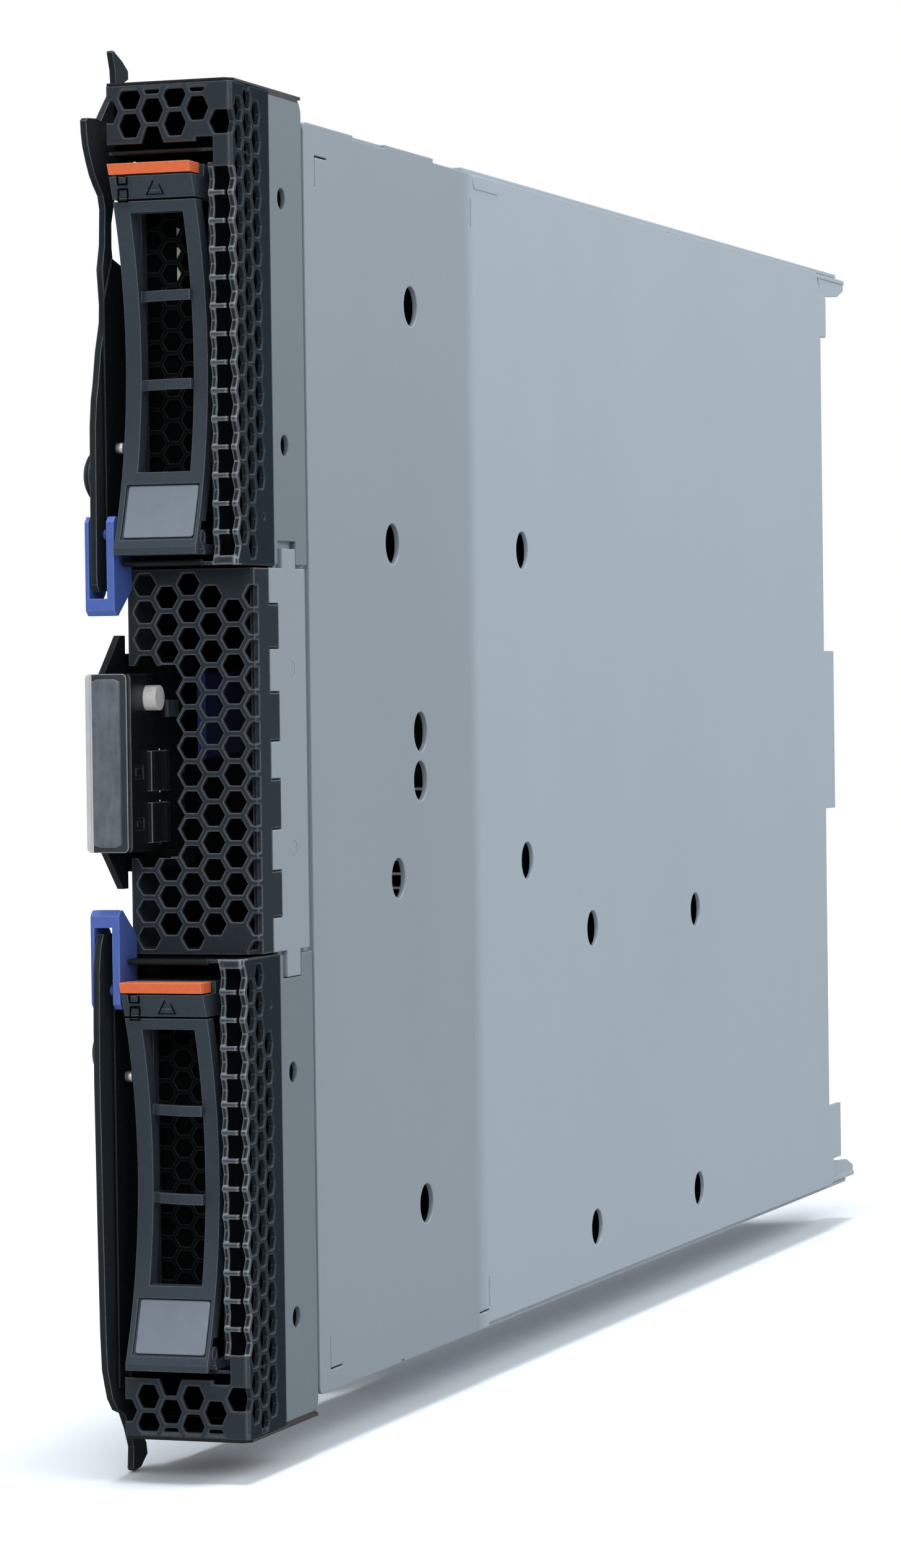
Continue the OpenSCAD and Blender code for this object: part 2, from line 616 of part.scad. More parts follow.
// open handle with three windows, thin at its foot
module handle() {
    w0 = fx0 + 3.0;
    w1 = fx1 - 2.7;
    wz0 = mz0 + 15.0;
    wz1 = hz_top - 2.0;
    color(grey) {
        difference() {
            union() {
                handle_wall(mz0 + 6, hz_top, 3.2);
                handle_wall(mz0 + 0.1, mz0 + 6.1, 1.2);
            }
            bx([w0, -8, wz0], [w1, 14, wz1]);
            // bed of the blank label
            intersection() {
                bx([fx0 + 1.0, -8, mz0 + 2.7], [fx1 - 0.6, 14, mz0 + 12.8]);
                arcx(fx0 - 1, fx1 + 1, arc_y + 0.8, mzm);
            }
            // the lip at the foot is cut off flat
            bx([fx0 - 1, -8, mz0 - 1], [fx1 + 1, dish(mod_h / 2 - 1.3), mz0 + 1.3]);
        }
        // hinge barrel and pins
        bx([fx0 + 1.5, -2.0, hp_z - 0.7], [fx1 - 1.5, hp_y, hp_z + 0.7]);
        rodx(fx0 + 1.5, fx1 - 1.5, hp_y, hp_z, 1.4);
        rodx(fx0 + 0.2, fx1 - 0.2, hp_y, hp_z, 0.75);
        // bars across the window, bowed back on the left
        for (z = [mz1 - 23.4, mz1 - 39.4]) xy(z - 1.0, z + 0.9) polygon([[w1 + 0.5, 2.2], [w1 - 4, 2.6],
            [w1 - 8, 4.2], [w0 - 0.5, 6.2], [w0 - 0.5, 4.6], [w1 - 8.5, 2.8], [w1 - 4, 1.4], [w1 + 0.5, 0.9]]);
    }
}

module handle_upper() { per_bay(1) handle(); }
module handle_lower() { per_bay(0) handle(); }

module release_bar() {
    d = mod_h / 2;
    color(orange) yz(fx0 + 0.1, fx1 - 0.1) polygon([[dish(d - bar_t) - 0.2, mz1 - bar_t],
        [dish(d) - 0.2, mz1], [1.2, mz1], [1.2, mz1 - bar_t]]);
}

module release_bar_upper() { per_bay(1) release_bar(); }
module release_bar_lower() { per_bay(0) release_bar(); }

// ---- control panel ----

cz0 = zm - panel_h / 2;
cz1 = zm + panel_h / 2;

module control_housing() {
    color(black) {
        difference() {
            bx([1.2, -2.2, cz0], [8.4, 24, cz1]);
            bx([2.4, -1.0, cz0 + 1.2], [7.2, 25, cz1 - 1.2]);
            // round hole, light slot and button holes in the inner wall
            rodx(7, 9, 7.0, zm + 11.7, power_r + 0.35);
            bx([7, 15.0, zm + 7.8], [9, 21.0, zm + 11.5]);
            bx([7, 6.0, zm - 5.6], [9, 15.0, zm + 2.4]);
            bx([7, 6.0, zm - 15.0], [9, 15.0, zm - 7.0]);
            // plain pictures, sunk
            bx([8.2, 0.2, zm - 2.9], [9, 4.4, zm - 0.5]);
            bx([8.2, 0.2, zm - 12.2], [9, 4.4, zm - 10.0]);
        }
        bx([8.1, 1.0, zm - 2.4], [8.4, 3.6, zm - 1.0]);
        bx([8.1, 1.4, zm - 11.6], [8.4, 3.2, zm - 10.6]);
        // gusset fins
        for (s = [-1, 1]) yz(1.9, 3.1) polygon([[-0.7, zm + s * (panel_h / 2 - e)], [6.8, zm + s * (panel_h / 2 + 7.0)],
            [9.2, zm + s * (panel_h / 2 + 7.0)], [9.2, zm + s * (panel_h / 2 - e)]]);
    }
}

module lens_bar() {
    color(white) xz(-4.2, -2.2) rr([0.8, cz0], [8.8, cz1], 0.9);
}

module light_guide() {
    color(white) {
        bx([6.6, 15.4, zm + 8.1], [8.9, 20.6, zm + 11.3]);
        bx([3.6, 15.4, zm + 8.1], [6.7, 20.6, zm + 9.6]);
    }
}

module control_board() {
    color(green) bx([2.4, 0.5, cz0 + 1.4], [3.6, 23.5, cz1 - 1.4]);
}

module power_button() {
    color(white) {
        rodx(4.8, 10.7, 7.0, zm + 11.7, power_r);
        rodx(4.8, 6.0, 7.0, zm + 11.7, power_r + 0.8);
    }
}

// push button with a hollow pad and raised ends
module pad_button(z0, z1) {
    color(black) {
        difference() {
            bx([5.0, 6.3, z0], [9.2, 14.7, z1]);
            translate([15.2, 10.5, 0]) translate([0, 0, z0 - 1]) cylinder(h = z1 - z0 + 2, r = 6.6);
        }
        bx([5.0, 5.2, z0 + 0.6], [6.0, 15.8, z1 - 0.6]);
    }
}

module select_button() { pad_button(zm - 5.3, zm + 2.1); }
module media_button() { pad_button(zm - 14.7, zm - 7.3); }

// ---- board and what is on it ----

sink_y0 = back_y + 15.2;
sink_y1 = bank_y - mod_len / 2 - 17.7;
cpu_y = (sink_y0 + sink_y1) / 2;
sink_l = sink_y1 - sink_y0;
cpu_z = [zm - 52, zm + 52];
bank_z = [zm + 74, zm - 74];

stand_pts = [[board_y0 + 10, zm + 100], [board_y0 + 10, zm - 100], [board_y0 + 10, zm],
    [sink_y1 + 5, zm + 14], [sink_y1 + 5, zm - 14], [board_y1 - 8, zm + 100],
    [board_y1 - 8, zm - 100], [board_y1 - 8, zm]];

module system_board() {
    color(green) yz(board_x0, board_x1) difference() {
        rc([board_y0, bz0 + jog + sheet + 1], [board_y1, bz1 - jog - sheet - 1]);
        for (p = stand_pts) translate(p) circle(r = 1.7);
        rr([board_y0 - 5, zm + 20], [board_y0 + 8, zm + 40], 2);
        rr([board_y0 - 5, zm - 40], [board_y0 + 8, zm - 20], 2);
    }
}

module board_standoffs() {
    color(steel) for (p = stand_pts) difference() {
        rodx(board_x1, xi, p[0], p[1], 2.8);
        rodx(board_x1 - 1, xi - 0.8, p[0], p[1], 1.5);
    }
}

module board_screws() {
    color(steel) for (p = stand_pts) {
        rodx(board_x0 - 1.6, board_x0, p[0], p[1], 2.9);
        rodx(board_x0 - e, board_x1 + 1.6, p[0], p[1], 1.4);
    }
}

module processor_sockets() {
    color([0.80, 0.78, 0.70]) for (z = cpu_z) {
        bx([board_x0 - 2.6, cpu_y - 22, z - 22], [board_x0, cpu_y + 22, z + 22]);
    }
}

module heat_sinks() {
    fw = 88;
    fp = (fw - 0.5) / fin_n;
    color([0.62, 0.63, 0.65]) for (z = cpu_z) {
        bx([board_x0 - 6.2, sink_y0, z - fw / 2], [board_x0 - 2.6, sink_y1, z + fw / 2]);
        difference() {
            bx([3.2, sink_y0 + 3, z - fw / 2], [board_x0 - 6.1, sink_y1 - 3, z + fw / 2]);
            for (k = [0 : fin_n - 1]) bx([2, sink_y0 - 5, z - fw / 2 + 0.5 + k * fp],
                [board_x0 - 6.1, sink_y1 + 5, z - fw / 2 + fp + k * fp]);
        }
        for (y = [sink_y0 + 1.5, sink_y1 - 1.5]) for (d = [-36, 36]) {
            rodx(board_x0 - 8.0, board_x0 - 6.2, y, z + d, 1.4);
            rodx(board_x0 - 2.7, board_x0, y, z + d, 1.4);
        }
    }
}

function dimm_z(b, k) = bank_z[b] + (k - (bank_n - 1) / 2) * bank_p;
sock_y0 = bank_y - mod_len / 2 - 3.3;
sock_y1 = bank_y + mod_len / 2 + 3.3;

module memory_sockets() {
    color(black) for (b = [0, 1]) for (k = [0 : bank_n - 1]) {
        z = dimm_z(b, k);
        difference() {
            bx([board_x0 - 5.2, sock_y0 + 5, z - 2.6], [board_x0, sock_y1 - 5, z + 2.6]);
            bx([board_x0 - 6, bank_y - mod_len / 2 - 0.1, z - 0.65], [board_x0 - 2.2, bank_y + mod_len / 2 + 0.1, z + 0.65]);
        }
        // cheeks that hold the ejector arms
        for (s = [-1, 1]) for (t = [-1, 1]) xy(z + (t < 0 ? -2.6 : 2.0), z + (t < 0 ? -2.0 : 2.6)) difference() {
            rc([board_x0 - 5.2, bank_y + s * ej_y - 3.7], [board_x0, bank_y + s * ej_y + 3.7]);
            translate([ej_x, bank_y + s * ej_y]) circle(r = 0.65, $fn = 24);
        }
    }
}

module memory_modules() {
    x1 = board_x0 - 2.2;
    color(green) for (b = [0, 1]) for (k = [0 : bank_n - 1]) {
        z = dimm_z(b, k);
        xy(z - 0.6, z + 0.6) polygon([[x1, bank_y - mod_len / 2], [x1, bank_y - 2.6], [x1 - 2.6, bank_y - 2.6],
            [x1 - 2.6, bank_y - 1.2], [x1, bank_y - 1.2], [x1, bank_y + mod_len / 2],
            [x1 - dimm_h, bank_y + mod_len / 2], [x1 - dimm_h, bank_y - mod_len / 2]]);
    }
}

module memory_chips() {
    x1 = board_x0 - 2.2 - dimm_h / 2;
    color(black) for (b = [0, 1]) for (k = [0 : bank_n - 1]) for (i = [-4 : 4]) if (i != 0) {
        z = dimm_z(b, k);
        bx([x1 - 5.5, bank_y + i * mod_len / 9.4 - 4.6, z + 0.6], [x1 + 3.5, bank_y + i * mod_len / 9.4 + 4.6, z + 1.7]);
    }
}

// ejector arms at one end of one bank, s = -1 front end, 1 rear end
ej_x = board_x0 - 2.4;
ej_y = mod_len / 2 + 1.925;

module ejectors(b, s) {
    y = bank_y + s * ej_y;
    color(white) for (k = [0 : bank_n - 1]) {
        z = dimm_z(b, k);
        xy(z - 1.7, z + 1.7) polygon([[board_x0 - 4.4, y - s * 1.0], [board_x0 - 1.0, y - s * 1.0],
            [board_x0 - 1.0, y + s * 1.2], [board_x0 - 12, y + s * 1.8], [board_x0 - 15.0, y + s * 3.4],
            [board_x0 - 15.2, y + s * 2.2], [board_x0 - 12, y - s * 0.6]]);
        rodz(z - 2.5, z + 2.5, ej_x, y, 0.6);
    }
}

module ejectors_a() { ejectors(0, -1); }
module ejectors_b() { ejectors(0, 1); }
module ejectors_c() { ejectors(1, -1); }
module ejectors_d() { ejectors(1, 1); }

module chipset_heat_sink() {
    y = bank_y - 20;
    color([0.20, 0.22, 0.25]) {
        bx([board_x0 - 4, y - 18, zm - 18], [board_x0, y + 18, zm + 18]);
        for (k = [0 : 8]) bx([board_x0 - 13, y - 18, zm - 18 + k * 4.3], [board_x0 - 3.9, y + 18, zm - 16.4 + k * 4.3]);
    }
}

module battery_holder() {
    y = bank_y + 40;
    color(black) difference() {
        rodx(board_x0 - 5, board_x0, y, zm + 22, 12);
        rodx(board_x0 - 6, board_x0 - 1.2, y, zm + 22, 10.05);
        bx([board_x0 - 6, y - 4, zm + 29], [board_x0 - 1.2, y + 4, zm + 36]);
    }
}

module battery_cell() {
    y = bank_y + 40;
    color([0.75, 0.76, 0.77]) {
        rodx(board_x0 - 4.4, board_x0 - 1.2, y, zm + 22, 10.0);
    }
}

module power_inductors() {
    color([0.35, 0.34, 0.33]) for (z = cpu_z) for (k = [-2 : 2]) {
        bx([board_x0 - 6, back_y + 3.2, z + k * 13 - 4.8], [board_x0, back_y + 12.2, z + k * 13 + 4.8]);
    }
}

module expansion_connectors() {
    color(black) for (p = [[bank_y + 12, zm - 27], [bank_y + 46, zm - 27]]) {
        difference() {
            bx([board_x0 - 7, p[0] - 3.5, p[1] - 9], [board_x0, p[0] + 3.5, p[1] + 14]);
            bx([board_x0 - 8, p[0] - 1.5, p[1] - 7.5], [board_x0 - 1.5, p[0] + 1.5, p[1] + 12.5]);
        }
    }
}

// ---- rear connectors ----

con_z = [zm + 68, zm - 68];

module midplane_connectors() {
    color(black) for (z = con_z) {
        difference() {
            xz(board_y1 + 0.2, y1 + 19) rr([10.0, z - 15], [board_x0, z + 15], 1.2);
            for (i = [0 : 2]) bx([12.3 + i * 3.4, y1 + 8, z - 13], [14.0 + i * 3.4, y1 + 20, z + 13]);
        }
        bx([board_x0 - 6, board_y1 - 8, z - 15], [board_x0, board_y1 + 0.3, z + 15]);
    }
}

module midplane_contacts() {
    color([0.80, 0.66, 0.35]) for (z = con_z) for (i = [0 : 2]) for (k = [-6 : 6])
        bx([12.7 + i * 3.4, y1 + 8, z + k * 1.95 - 0.4], [13.6 + i * 3.4, y1 + 16, z + k * 1.95 + 0.4]);
}

module guide_pins() {
    color(steel) for (z = [zm + 92, zm - 92]) {
        rody(y1 + 3.5, y1 + 17, 17, z, 3.0);
        translate([17, y1 + 17, z]) rotate([-90, 0, 0]) cylinder(h = 4, r1 = 3.0, r2 = 1.4);
    }
}

module drive_backplanes() {
    color(green) for (i = [0, 1]) per_bay(i) {
        bx([5.8, back_y, mz0 - 0.6], [board_x0, back_y + 1.6, mz1 + 0.6]);
        bx([board_x0 - 5.6, back_y + 1.6 - e, mzm - 20], [board_x0, back_y + 2.4, mzm + 20]);
    }
}

module backplane_connectors() {
    color(black) for (i = [0, 1]) per_bay(i) {
        bx([fx0 + 4.2, back_y - 4.2, mz0 + 11.0], [fx0 + 9.2, back_y, mz0 + 45.0]);
    }
}

// ---- cover ----

module cover_hinge_pins() {
    color(steel) {
        rodz(bz1 - jog, bz1 + 0.9, hinge_x, hinge_y, 1.45);
        rodz(bz0 - 0.9, bz0 + jog, hinge_x, hinge_y, 1.45);
    }
}

cz_hi = bz1 - jog + 0.3;    // underside of the upper cover flange
cz_lo = bz0 + jog - 0.3;    // upper side of the lower cover flange

module top_cover() {
    yf = ybf + 1.0;
    color(steel) {
        bx([0.4, yf, cz_lo - 0.9], [1.4, hinge_y - 1.2, cz_hi + 0.9]);
        for (s = [0, 1]) {
            z = s == 0 ? cz_hi : cz_lo - 0.9;
            ys1 = s == 0 ? ybf + 22 : ybg + 1.6;
            xy(z, z + 0.9) difference() {
                polygon([[0.5, ys1 + 3], [3, ys1], [xp - 1.6, ys1], [xp - 1.6, hinge_y + 5],
                    [2.4, hinge_y + 5], [0.5, hinge_y + 3]]);
                translate([hinge_x, hinge_y]) circle(r = 1.5);
                rc([9.7, ys1 + 7.7], [20.3, ys1 + 22.3]);
            }
        }
        // stiffening rib pressed into the lid
        for (z = [zm - 70, zm, zm + 70]) bx([1.4 - e, yf + 30, z - 3], [1.9, hinge_y - 60, z + 3]);
    }
}

module cover_release(s) {
    z = s == 0 ? cz_hi + 0.1 : cz_lo - 1.1;
    ys1 = s == 0 ? ybf + 22 : ybg + 1.6;
    color(blue) bx([10, ys1 + 10, z], [20, ys1 + 22, z + 1.0]);
}

module cover_release_upper() { cover_release(0); }
module cover_release_lower() { cover_release(1); }

base_tray();
rear_bracket();
front_frame_upper();
front_frame_lower();
middle_bracket();
bezel_upper();
bezel_lower();
middle_grille();
drive_cage_upper();
drive_cage_lower();
lever_pivots();
control_housing();
lens_bar();
light_guide();
control_board();
system_board();
board_standoffs();
board_screws();
processor_sockets();
heat_sinks();
memory_sockets();
memory_modules();
memory_chips();
chipset_heat_sink();
battery_cell();
battery_holder();
power_inductors();
expansion_connectors();
midplane_connectors();
midplane_contacts();
guide_pins();
drive_backplanes();
backplane_connectors();
cover_hinge_pins();
top_cover();
cover_release_upper();
cover_release_lower();
lever_upper();
lever_lower();
lever_disc_upper();
lever_disc_lower();
latch_upper();
latch_lower();
drive_tray_upper();
drive_tray_lower();
tray_front_upper();
tray_front_lower();
drive_upper();
drive_lower();
handle_upper();
handle_lower();
release_bar_upper();
release_bar_lower();
power_button();
select_button();
media_button();
ejectors_a();
ejectors_b();
ejectors_c();
ejectors_d();
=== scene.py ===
# %% [markdown]
# # A blade server, dressed for its picture
# A blade server is a thin computer that slides upright into a shared chassis. Its solids
# (sheet metal, honeycomb front, drive trays, levers, board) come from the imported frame.
# Here they get their finishes, a few small surfaces that are too fine for the solids, and a
# plain studio. The frame is loaded first, and its box is measured so that nothing grows.
# Positions are in the frame's own axes: X runs from the cover side to the base panel, Y from
# the front to the rear and Z up. The pieces are measured in millimetres. Materials, lamps and
# the floor work in metres, and so does every name that ends in _M.

# %% Load the frame
import math
import bmesh
import bpy
import numpy as np
from mathutils import Matrix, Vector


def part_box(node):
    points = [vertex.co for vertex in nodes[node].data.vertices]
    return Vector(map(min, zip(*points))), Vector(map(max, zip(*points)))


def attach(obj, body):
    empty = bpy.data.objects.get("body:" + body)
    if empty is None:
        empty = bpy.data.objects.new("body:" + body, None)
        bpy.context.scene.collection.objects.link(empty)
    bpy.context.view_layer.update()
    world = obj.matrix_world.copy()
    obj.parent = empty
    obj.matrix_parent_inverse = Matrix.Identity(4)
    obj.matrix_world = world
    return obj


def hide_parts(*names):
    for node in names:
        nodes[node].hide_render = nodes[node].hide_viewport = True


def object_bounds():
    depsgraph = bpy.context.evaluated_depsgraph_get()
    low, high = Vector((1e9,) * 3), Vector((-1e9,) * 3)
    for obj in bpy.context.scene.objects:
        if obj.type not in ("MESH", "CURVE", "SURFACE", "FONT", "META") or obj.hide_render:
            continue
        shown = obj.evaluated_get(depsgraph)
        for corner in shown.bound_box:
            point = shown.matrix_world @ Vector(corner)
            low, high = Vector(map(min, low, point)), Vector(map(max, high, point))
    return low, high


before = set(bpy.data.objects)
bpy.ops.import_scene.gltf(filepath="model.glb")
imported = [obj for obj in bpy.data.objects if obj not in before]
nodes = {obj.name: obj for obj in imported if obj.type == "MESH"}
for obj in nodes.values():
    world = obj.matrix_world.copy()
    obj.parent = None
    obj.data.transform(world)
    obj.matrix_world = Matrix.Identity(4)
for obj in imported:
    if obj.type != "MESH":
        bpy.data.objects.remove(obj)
start_box = [list(corner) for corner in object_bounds()]
MM = 0.001
MIDDLE_Z = 122.5
print("loaded", len(nodes), "nodes, box", start_box)

# %% [markdown]
# ## Writing shader maths as expressions
# A Blender material is a graph of nodes. Adding Math nodes one by one hides the formula, so a
# small class wraps a socket and turns +, -, *, <, > into nodes. One method, `node`, adds any
# other node: its settings first, then the values or links of its sockets. The few patterns that
# come back in every finish, such as a noise or a softened edge, are short methods built on it.

# %% The socket class
class Sock:
    """A value in a node tree: arithmetic on it adds Math nodes."""

    def __init__(self, graph, socket):
        self.graph, self.socket = graph, socket

    def _math(self, operation, a, b):
        return self.graph.node("ShaderNodeMath", {"operation": operation}, {0: a, 1: b})

    def __add__(self, other): return self._math("ADD", self, other)
    def __radd__(self, other): return self._math("ADD", other, self)
    def __sub__(self, other): return self._math("SUBTRACT", self, other)
    def __rsub__(self, other): return self._math("SUBTRACT", other, self)
    def __mul__(self, other): return self._math("MULTIPLY", self, other)
    def __rmul__(self, other): return self._math("MULTIPLY", other, self)
    def __gt__(self, other): return self._math("GREATER_THAN", self, other)
    def __lt__(self, other): return self._math("LESS_THAN", self, other)


class Graph:
    """A material's or the world's node tree, and short names for the nodes used in it."""

    def __init__(self, name, tree=None):
        if tree is None:
            self.material = bpy.data.materials.new(name)
            self.material.use_nodes = True
            tree = self.material.node_tree
        self.tree = tree
        tree.nodes.clear()

    def node(self, kind, settings=None, inputs=None, out=0):
        """Add a node, set it, link or fill its sockets, and give back one of its outputs."""
        made = self.tree.nodes.new(kind)
        for key, value in (settings or {}).items():
            setattr(made, key, value)
        for key, value in (inputs or {}).items():
            if isinstance(value, Sock):
                self.tree.links.new(value.socket, made.inputs[key])
            else:
                made.inputs[key].default_value = value
        return Sock(self, made.outputs[out])

    def where(self):
        return self.node("ShaderNodeTexCoord", {}, {}, out="Object")

    def along(self, letter):
        """The X, Y or Z of the point being shaded, in metres."""
        return self.node("ShaderNodeSeparateXYZ", {}, {"Vector": self.where()}, out=letter)

    def off_middle(self):
        """How far the point lies above or below mid-height, in metres."""
        return self.node("ShaderNodeMath", {"operation": "ABSOLUTE"},
                         {0: self.along("Z") - MIDDLE_Z * MM})

    def larger(self, a, b):
        return self.node("ShaderNodeMath", {"operation": "MAXIMUM"}, {0: a, 1: b})

    def fade(self, value, start, stop):
        """0 up to start, 1 from stop on, and a straight line between them."""
        return self.node("ShaderNodeMapRange", {"clamp": True},
                         {"Value": value, "From Min": start, "From Max": stop,
                          "To Min": 0.0, "To Max": 1.0})

    def ray(self, kind):
        """1 for a ray of this kind, such as "Is Camera Ray", and 0 for any other."""
        return self.node("ShaderNodeLightPath", {}, {}, out=kind)

    def stretched(self, scale):
        """Coordinates in which a pattern is drawn out along the axes of small scale."""
        return self.node("ShaderNodeMapping", {}, {"Vector": self.where(), "Scale": scale})

    def noise(self, scale, detail=3.0, rough=0.55, at=None):
        return self.node("ShaderNodeTexNoise", {"noise_dimensions": "3D"},
                         {"Vector": at or self.where(), "Scale": scale, "Detail": detail,
                          "Roughness": rough})

    def blend(self, factor, low, high):
        """Colour low where factor is 0, colour high where it is 1."""
        return self.node("ShaderNodeMix", {"data_type": "RGBA"},
                         {0: factor, 6: low, 7: high}, out=2)

    def bump(self, height, distance, over=None):
        """Normal tilted by a height, laid over another normal where one is given."""
        inputs = {"Height": height, "Distance": distance, "Strength": 1.0}
        if over is not None:
            inputs["Normal"] = over
        return self.node("ShaderNodeBump", {}, inputs)

    def soft_edge(self, radius):
        """Normal of a surface whose edges are rounded by radius, and how near an edge is."""
        round_normal = self.node("ShaderNodeBevel", {"samples": 4}, {"Radius": radius})
        true_normal = self.node("ShaderNodeNewGeometry", {}, {}, out="True Normal")
        same = self.node("ShaderNodeVectorMath", {"operation": "DOT_PRODUCT"},
                         {0: round_normal, 1: true_normal}, out="Value")
        return round_normal, self.fade(same, 0.995, 0.75)

    def finish(self, inputs):
        """Close the material with a Principled shader that has these sockets."""
        shader = self.node("ShaderNodeBsdfPrincipled", {}, inputs)
        self.node_out(shader)
        return self.material

    def node_out(self, shader):
        out = self.tree.nodes.new("ShaderNodeOutputMaterial")
        self.tree.links.new(shader.socket, out.inputs["Surface"])


def rgb(r, g, b):
    """A colour socket wants a fourth number, the alpha, which stays 1."""
    return (r, g, b, 1.0)


def scaled(tone, factor):
    """A colour made darker or paler: each channel times factor, held at 1."""
    return rgb(*[min(1.0, c * factor) for c in tone])


print("ready to write shader maths")


# %% [markdown]
# ## Zinc-plated sheet steel
# The base panel, cover and strips are plated sheet: a cool grey that is almost matt, with a
# faint cloudy variation and a fine grain. A picture of such a sheet could be wrapped round the
# parts, but it would repeat and need unwrapping, so noises in the part's own coordinates do it.
# A broad cloud, a drawn streak and a fine grain move the colour a little; the grain also
# roughens the surface. It is only partly metallic, so it stays as pale as the plating. The
# sheet ahead of the pressed step is painted darker, as painted shade, and every edge is painted
# paler, as a painted highlight. The end flanges of the strips are black.

# %% Steel finishes
STEP_START_M, STEP_END_M = 0.128, 0.135
FLANGE_M = 0.1213
FLANGE_BLACK = rgb(0.004, 0.006, 0.007)


def sheet_steel(name, tone, rough, metal=0.2, edge=1.25, shine=0.3, front=1.0, caps=False):
    """Edges get a painted highlight; front paints shade ahead of the pressed step; caps blackens
    both end flanges.
    """
    g = Graph(name)
    cloud = g.noise(9.0, 4.0)
    grain = g.noise(900.0, 2.0)
    streak = g.noise(60.0, 3.0, at=g.stretched((1.0, 1.0, 0.12)))
    mottle = cloud * 0.5 + streak * 0.3 + grain * 0.2
    dark = [c * 0.93 for c in tone]
    pale = [min(1.0, c * 1.07) for c in tone]
    rounded, near = g.soft_edge(0.0004)
    colour = g.blend(mottle, rgb(*dark), rgb(*pale))
    if front != 1.0:
        # Painted shade: the sheet ahead of the pressed step is made darker.
        shaded_front = g.blend(mottle, scaled(dark, front), scaled(pale, front))
        colour = g.blend(g.fade(g.along("Y"), STEP_START_M, STEP_END_M), shaded_front, colour)
    # Painted highlight: the colour turns paler where an edge is near.
    colour = g.blend(near, colour, scaled(tone, edge))
    if caps:
        colour = g.blend(g.off_middle() > FLANGE_M, colour, FLANGE_BLACK)
    return g.finish({"Base Color": colour, "Metallic": metal,
                     "Roughness": (mottle - 0.5) * 0.25 + rough, "Specular IOR Level": shine,
                     "Normal": g.bump(grain, 0.00003, over=rounded)})


panel_steel = sheet_steel("plated_panel", (0.298, 0.360, 0.416), 0.50, front=0.74)
cover_steel = sheet_steel("plated_cover", (0.298, 0.360, 0.416), 0.50)
strip_steel = sheet_steel("plated_strip", (0.120, 0.156, 0.183), 0.48, caps=True)
bracket_steel = sheet_steel("plated_bracket", (0.225, 0.274, 0.320), 0.46)
bright_steel = sheet_steel("bright_fastener", (0.60, 0.61, 0.62), 0.30, 0.9)
print("steel finishes:", len(bpy.data.materials), "materials so far")

# %% [markdown]
# ## Moulded plastics
# The black front and the grey tray parts are moulded with a spark-eroded grain: tiny pits that
# catch the light. A fine noise drives a bump, and the roughness rises slightly in the pits.
# A moulding is never sharp: the Bevel node rounds the normal at each edge, and where it differs
# from the true normal the plastic is painted paler, a painted highlight on the rim. That costs no
# faces. The honeycomb front also goes near black inside, behind its face and its side wall,
# because
# light hardly reaches there: painted shade. Its face is painted paler than its walls, as painted
# light, and only its ladder of cells at the corner keeps fully bright painted highlights on its
# rims.

# %% Plastic finishes
FACE_M, RIM_DEPTH_M, INNER_DEPTH_M = 0.0006, 0.0022, 0.00135
GUIDE_WALL_M, SIDE_WALL_M = 0.0238, 0.0279
LADDER_END_M = 0.1068
LIT_FACE_BLACK, INNER_BLACK = rgb(0.031, 0.040, 0.050), rgb(0.003, 0.004, 0.005)


def moulded(name, tone, rough, grain_scale=1400.0, depth=0.00005, coat=0.0, edge=None,
            shine=0.5, radius=0.0003, hollow=False):
    """Grained plastic with a painted highlight on its edges; hollow paints light and shade on the
    front.
    """
    g = Graph(name)
    grain = g.noise(grain_scale, 2.0, 0.6)
    wear = g.noise(40.0, 3.0)
    dark = [c * 0.85 for c in tone]
    pale = [min(1.0, c * 1.2) for c in tone]
    rounded, near = g.soft_edge(radius)
    colour = g.blend(grain * 0.7 + wear * 0.3, rgb(*dark), rgb(*pale))
    # Painted highlight: how strongly each rim is painted paler.
    rim = near * (grain * 0.8 + 0.5)
    if hollow:
        across, deep = g.along("X"), g.along("Y")
        # Painted light: the front face is paler than the walls and sides of the same plastic.
        colour = g.blend(deep < FACE_M, colour, LIT_FACE_BLACK)
        # Painted light: outside the corner ladder the rim highlight is dimmed to a quarter.
        ladder = (across > GUIDE_WALL_M) * (deep < RIM_DEPTH_M) * (g.off_middle() < LADDER_END_M)
        rim = rim * (ladder * 0.75 + 0.25)
    if edge is not None:
        colour = g.blend(rim, colour, rgb(*edge))
    if hollow:
        inner = (deep > INNER_DEPTH_M) * (across < SIDE_WALL_M)
        colour = g.blend(inner, colour, INNER_BLACK)
    return g.finish({"Base Color": colour, "Roughness": (grain - 0.5) * 0.2 + rough,
                     "Coat Weight": coat, "Specular IOR Level": shine,
                     "Normal": g.bump(grain, depth, over=rounded)})


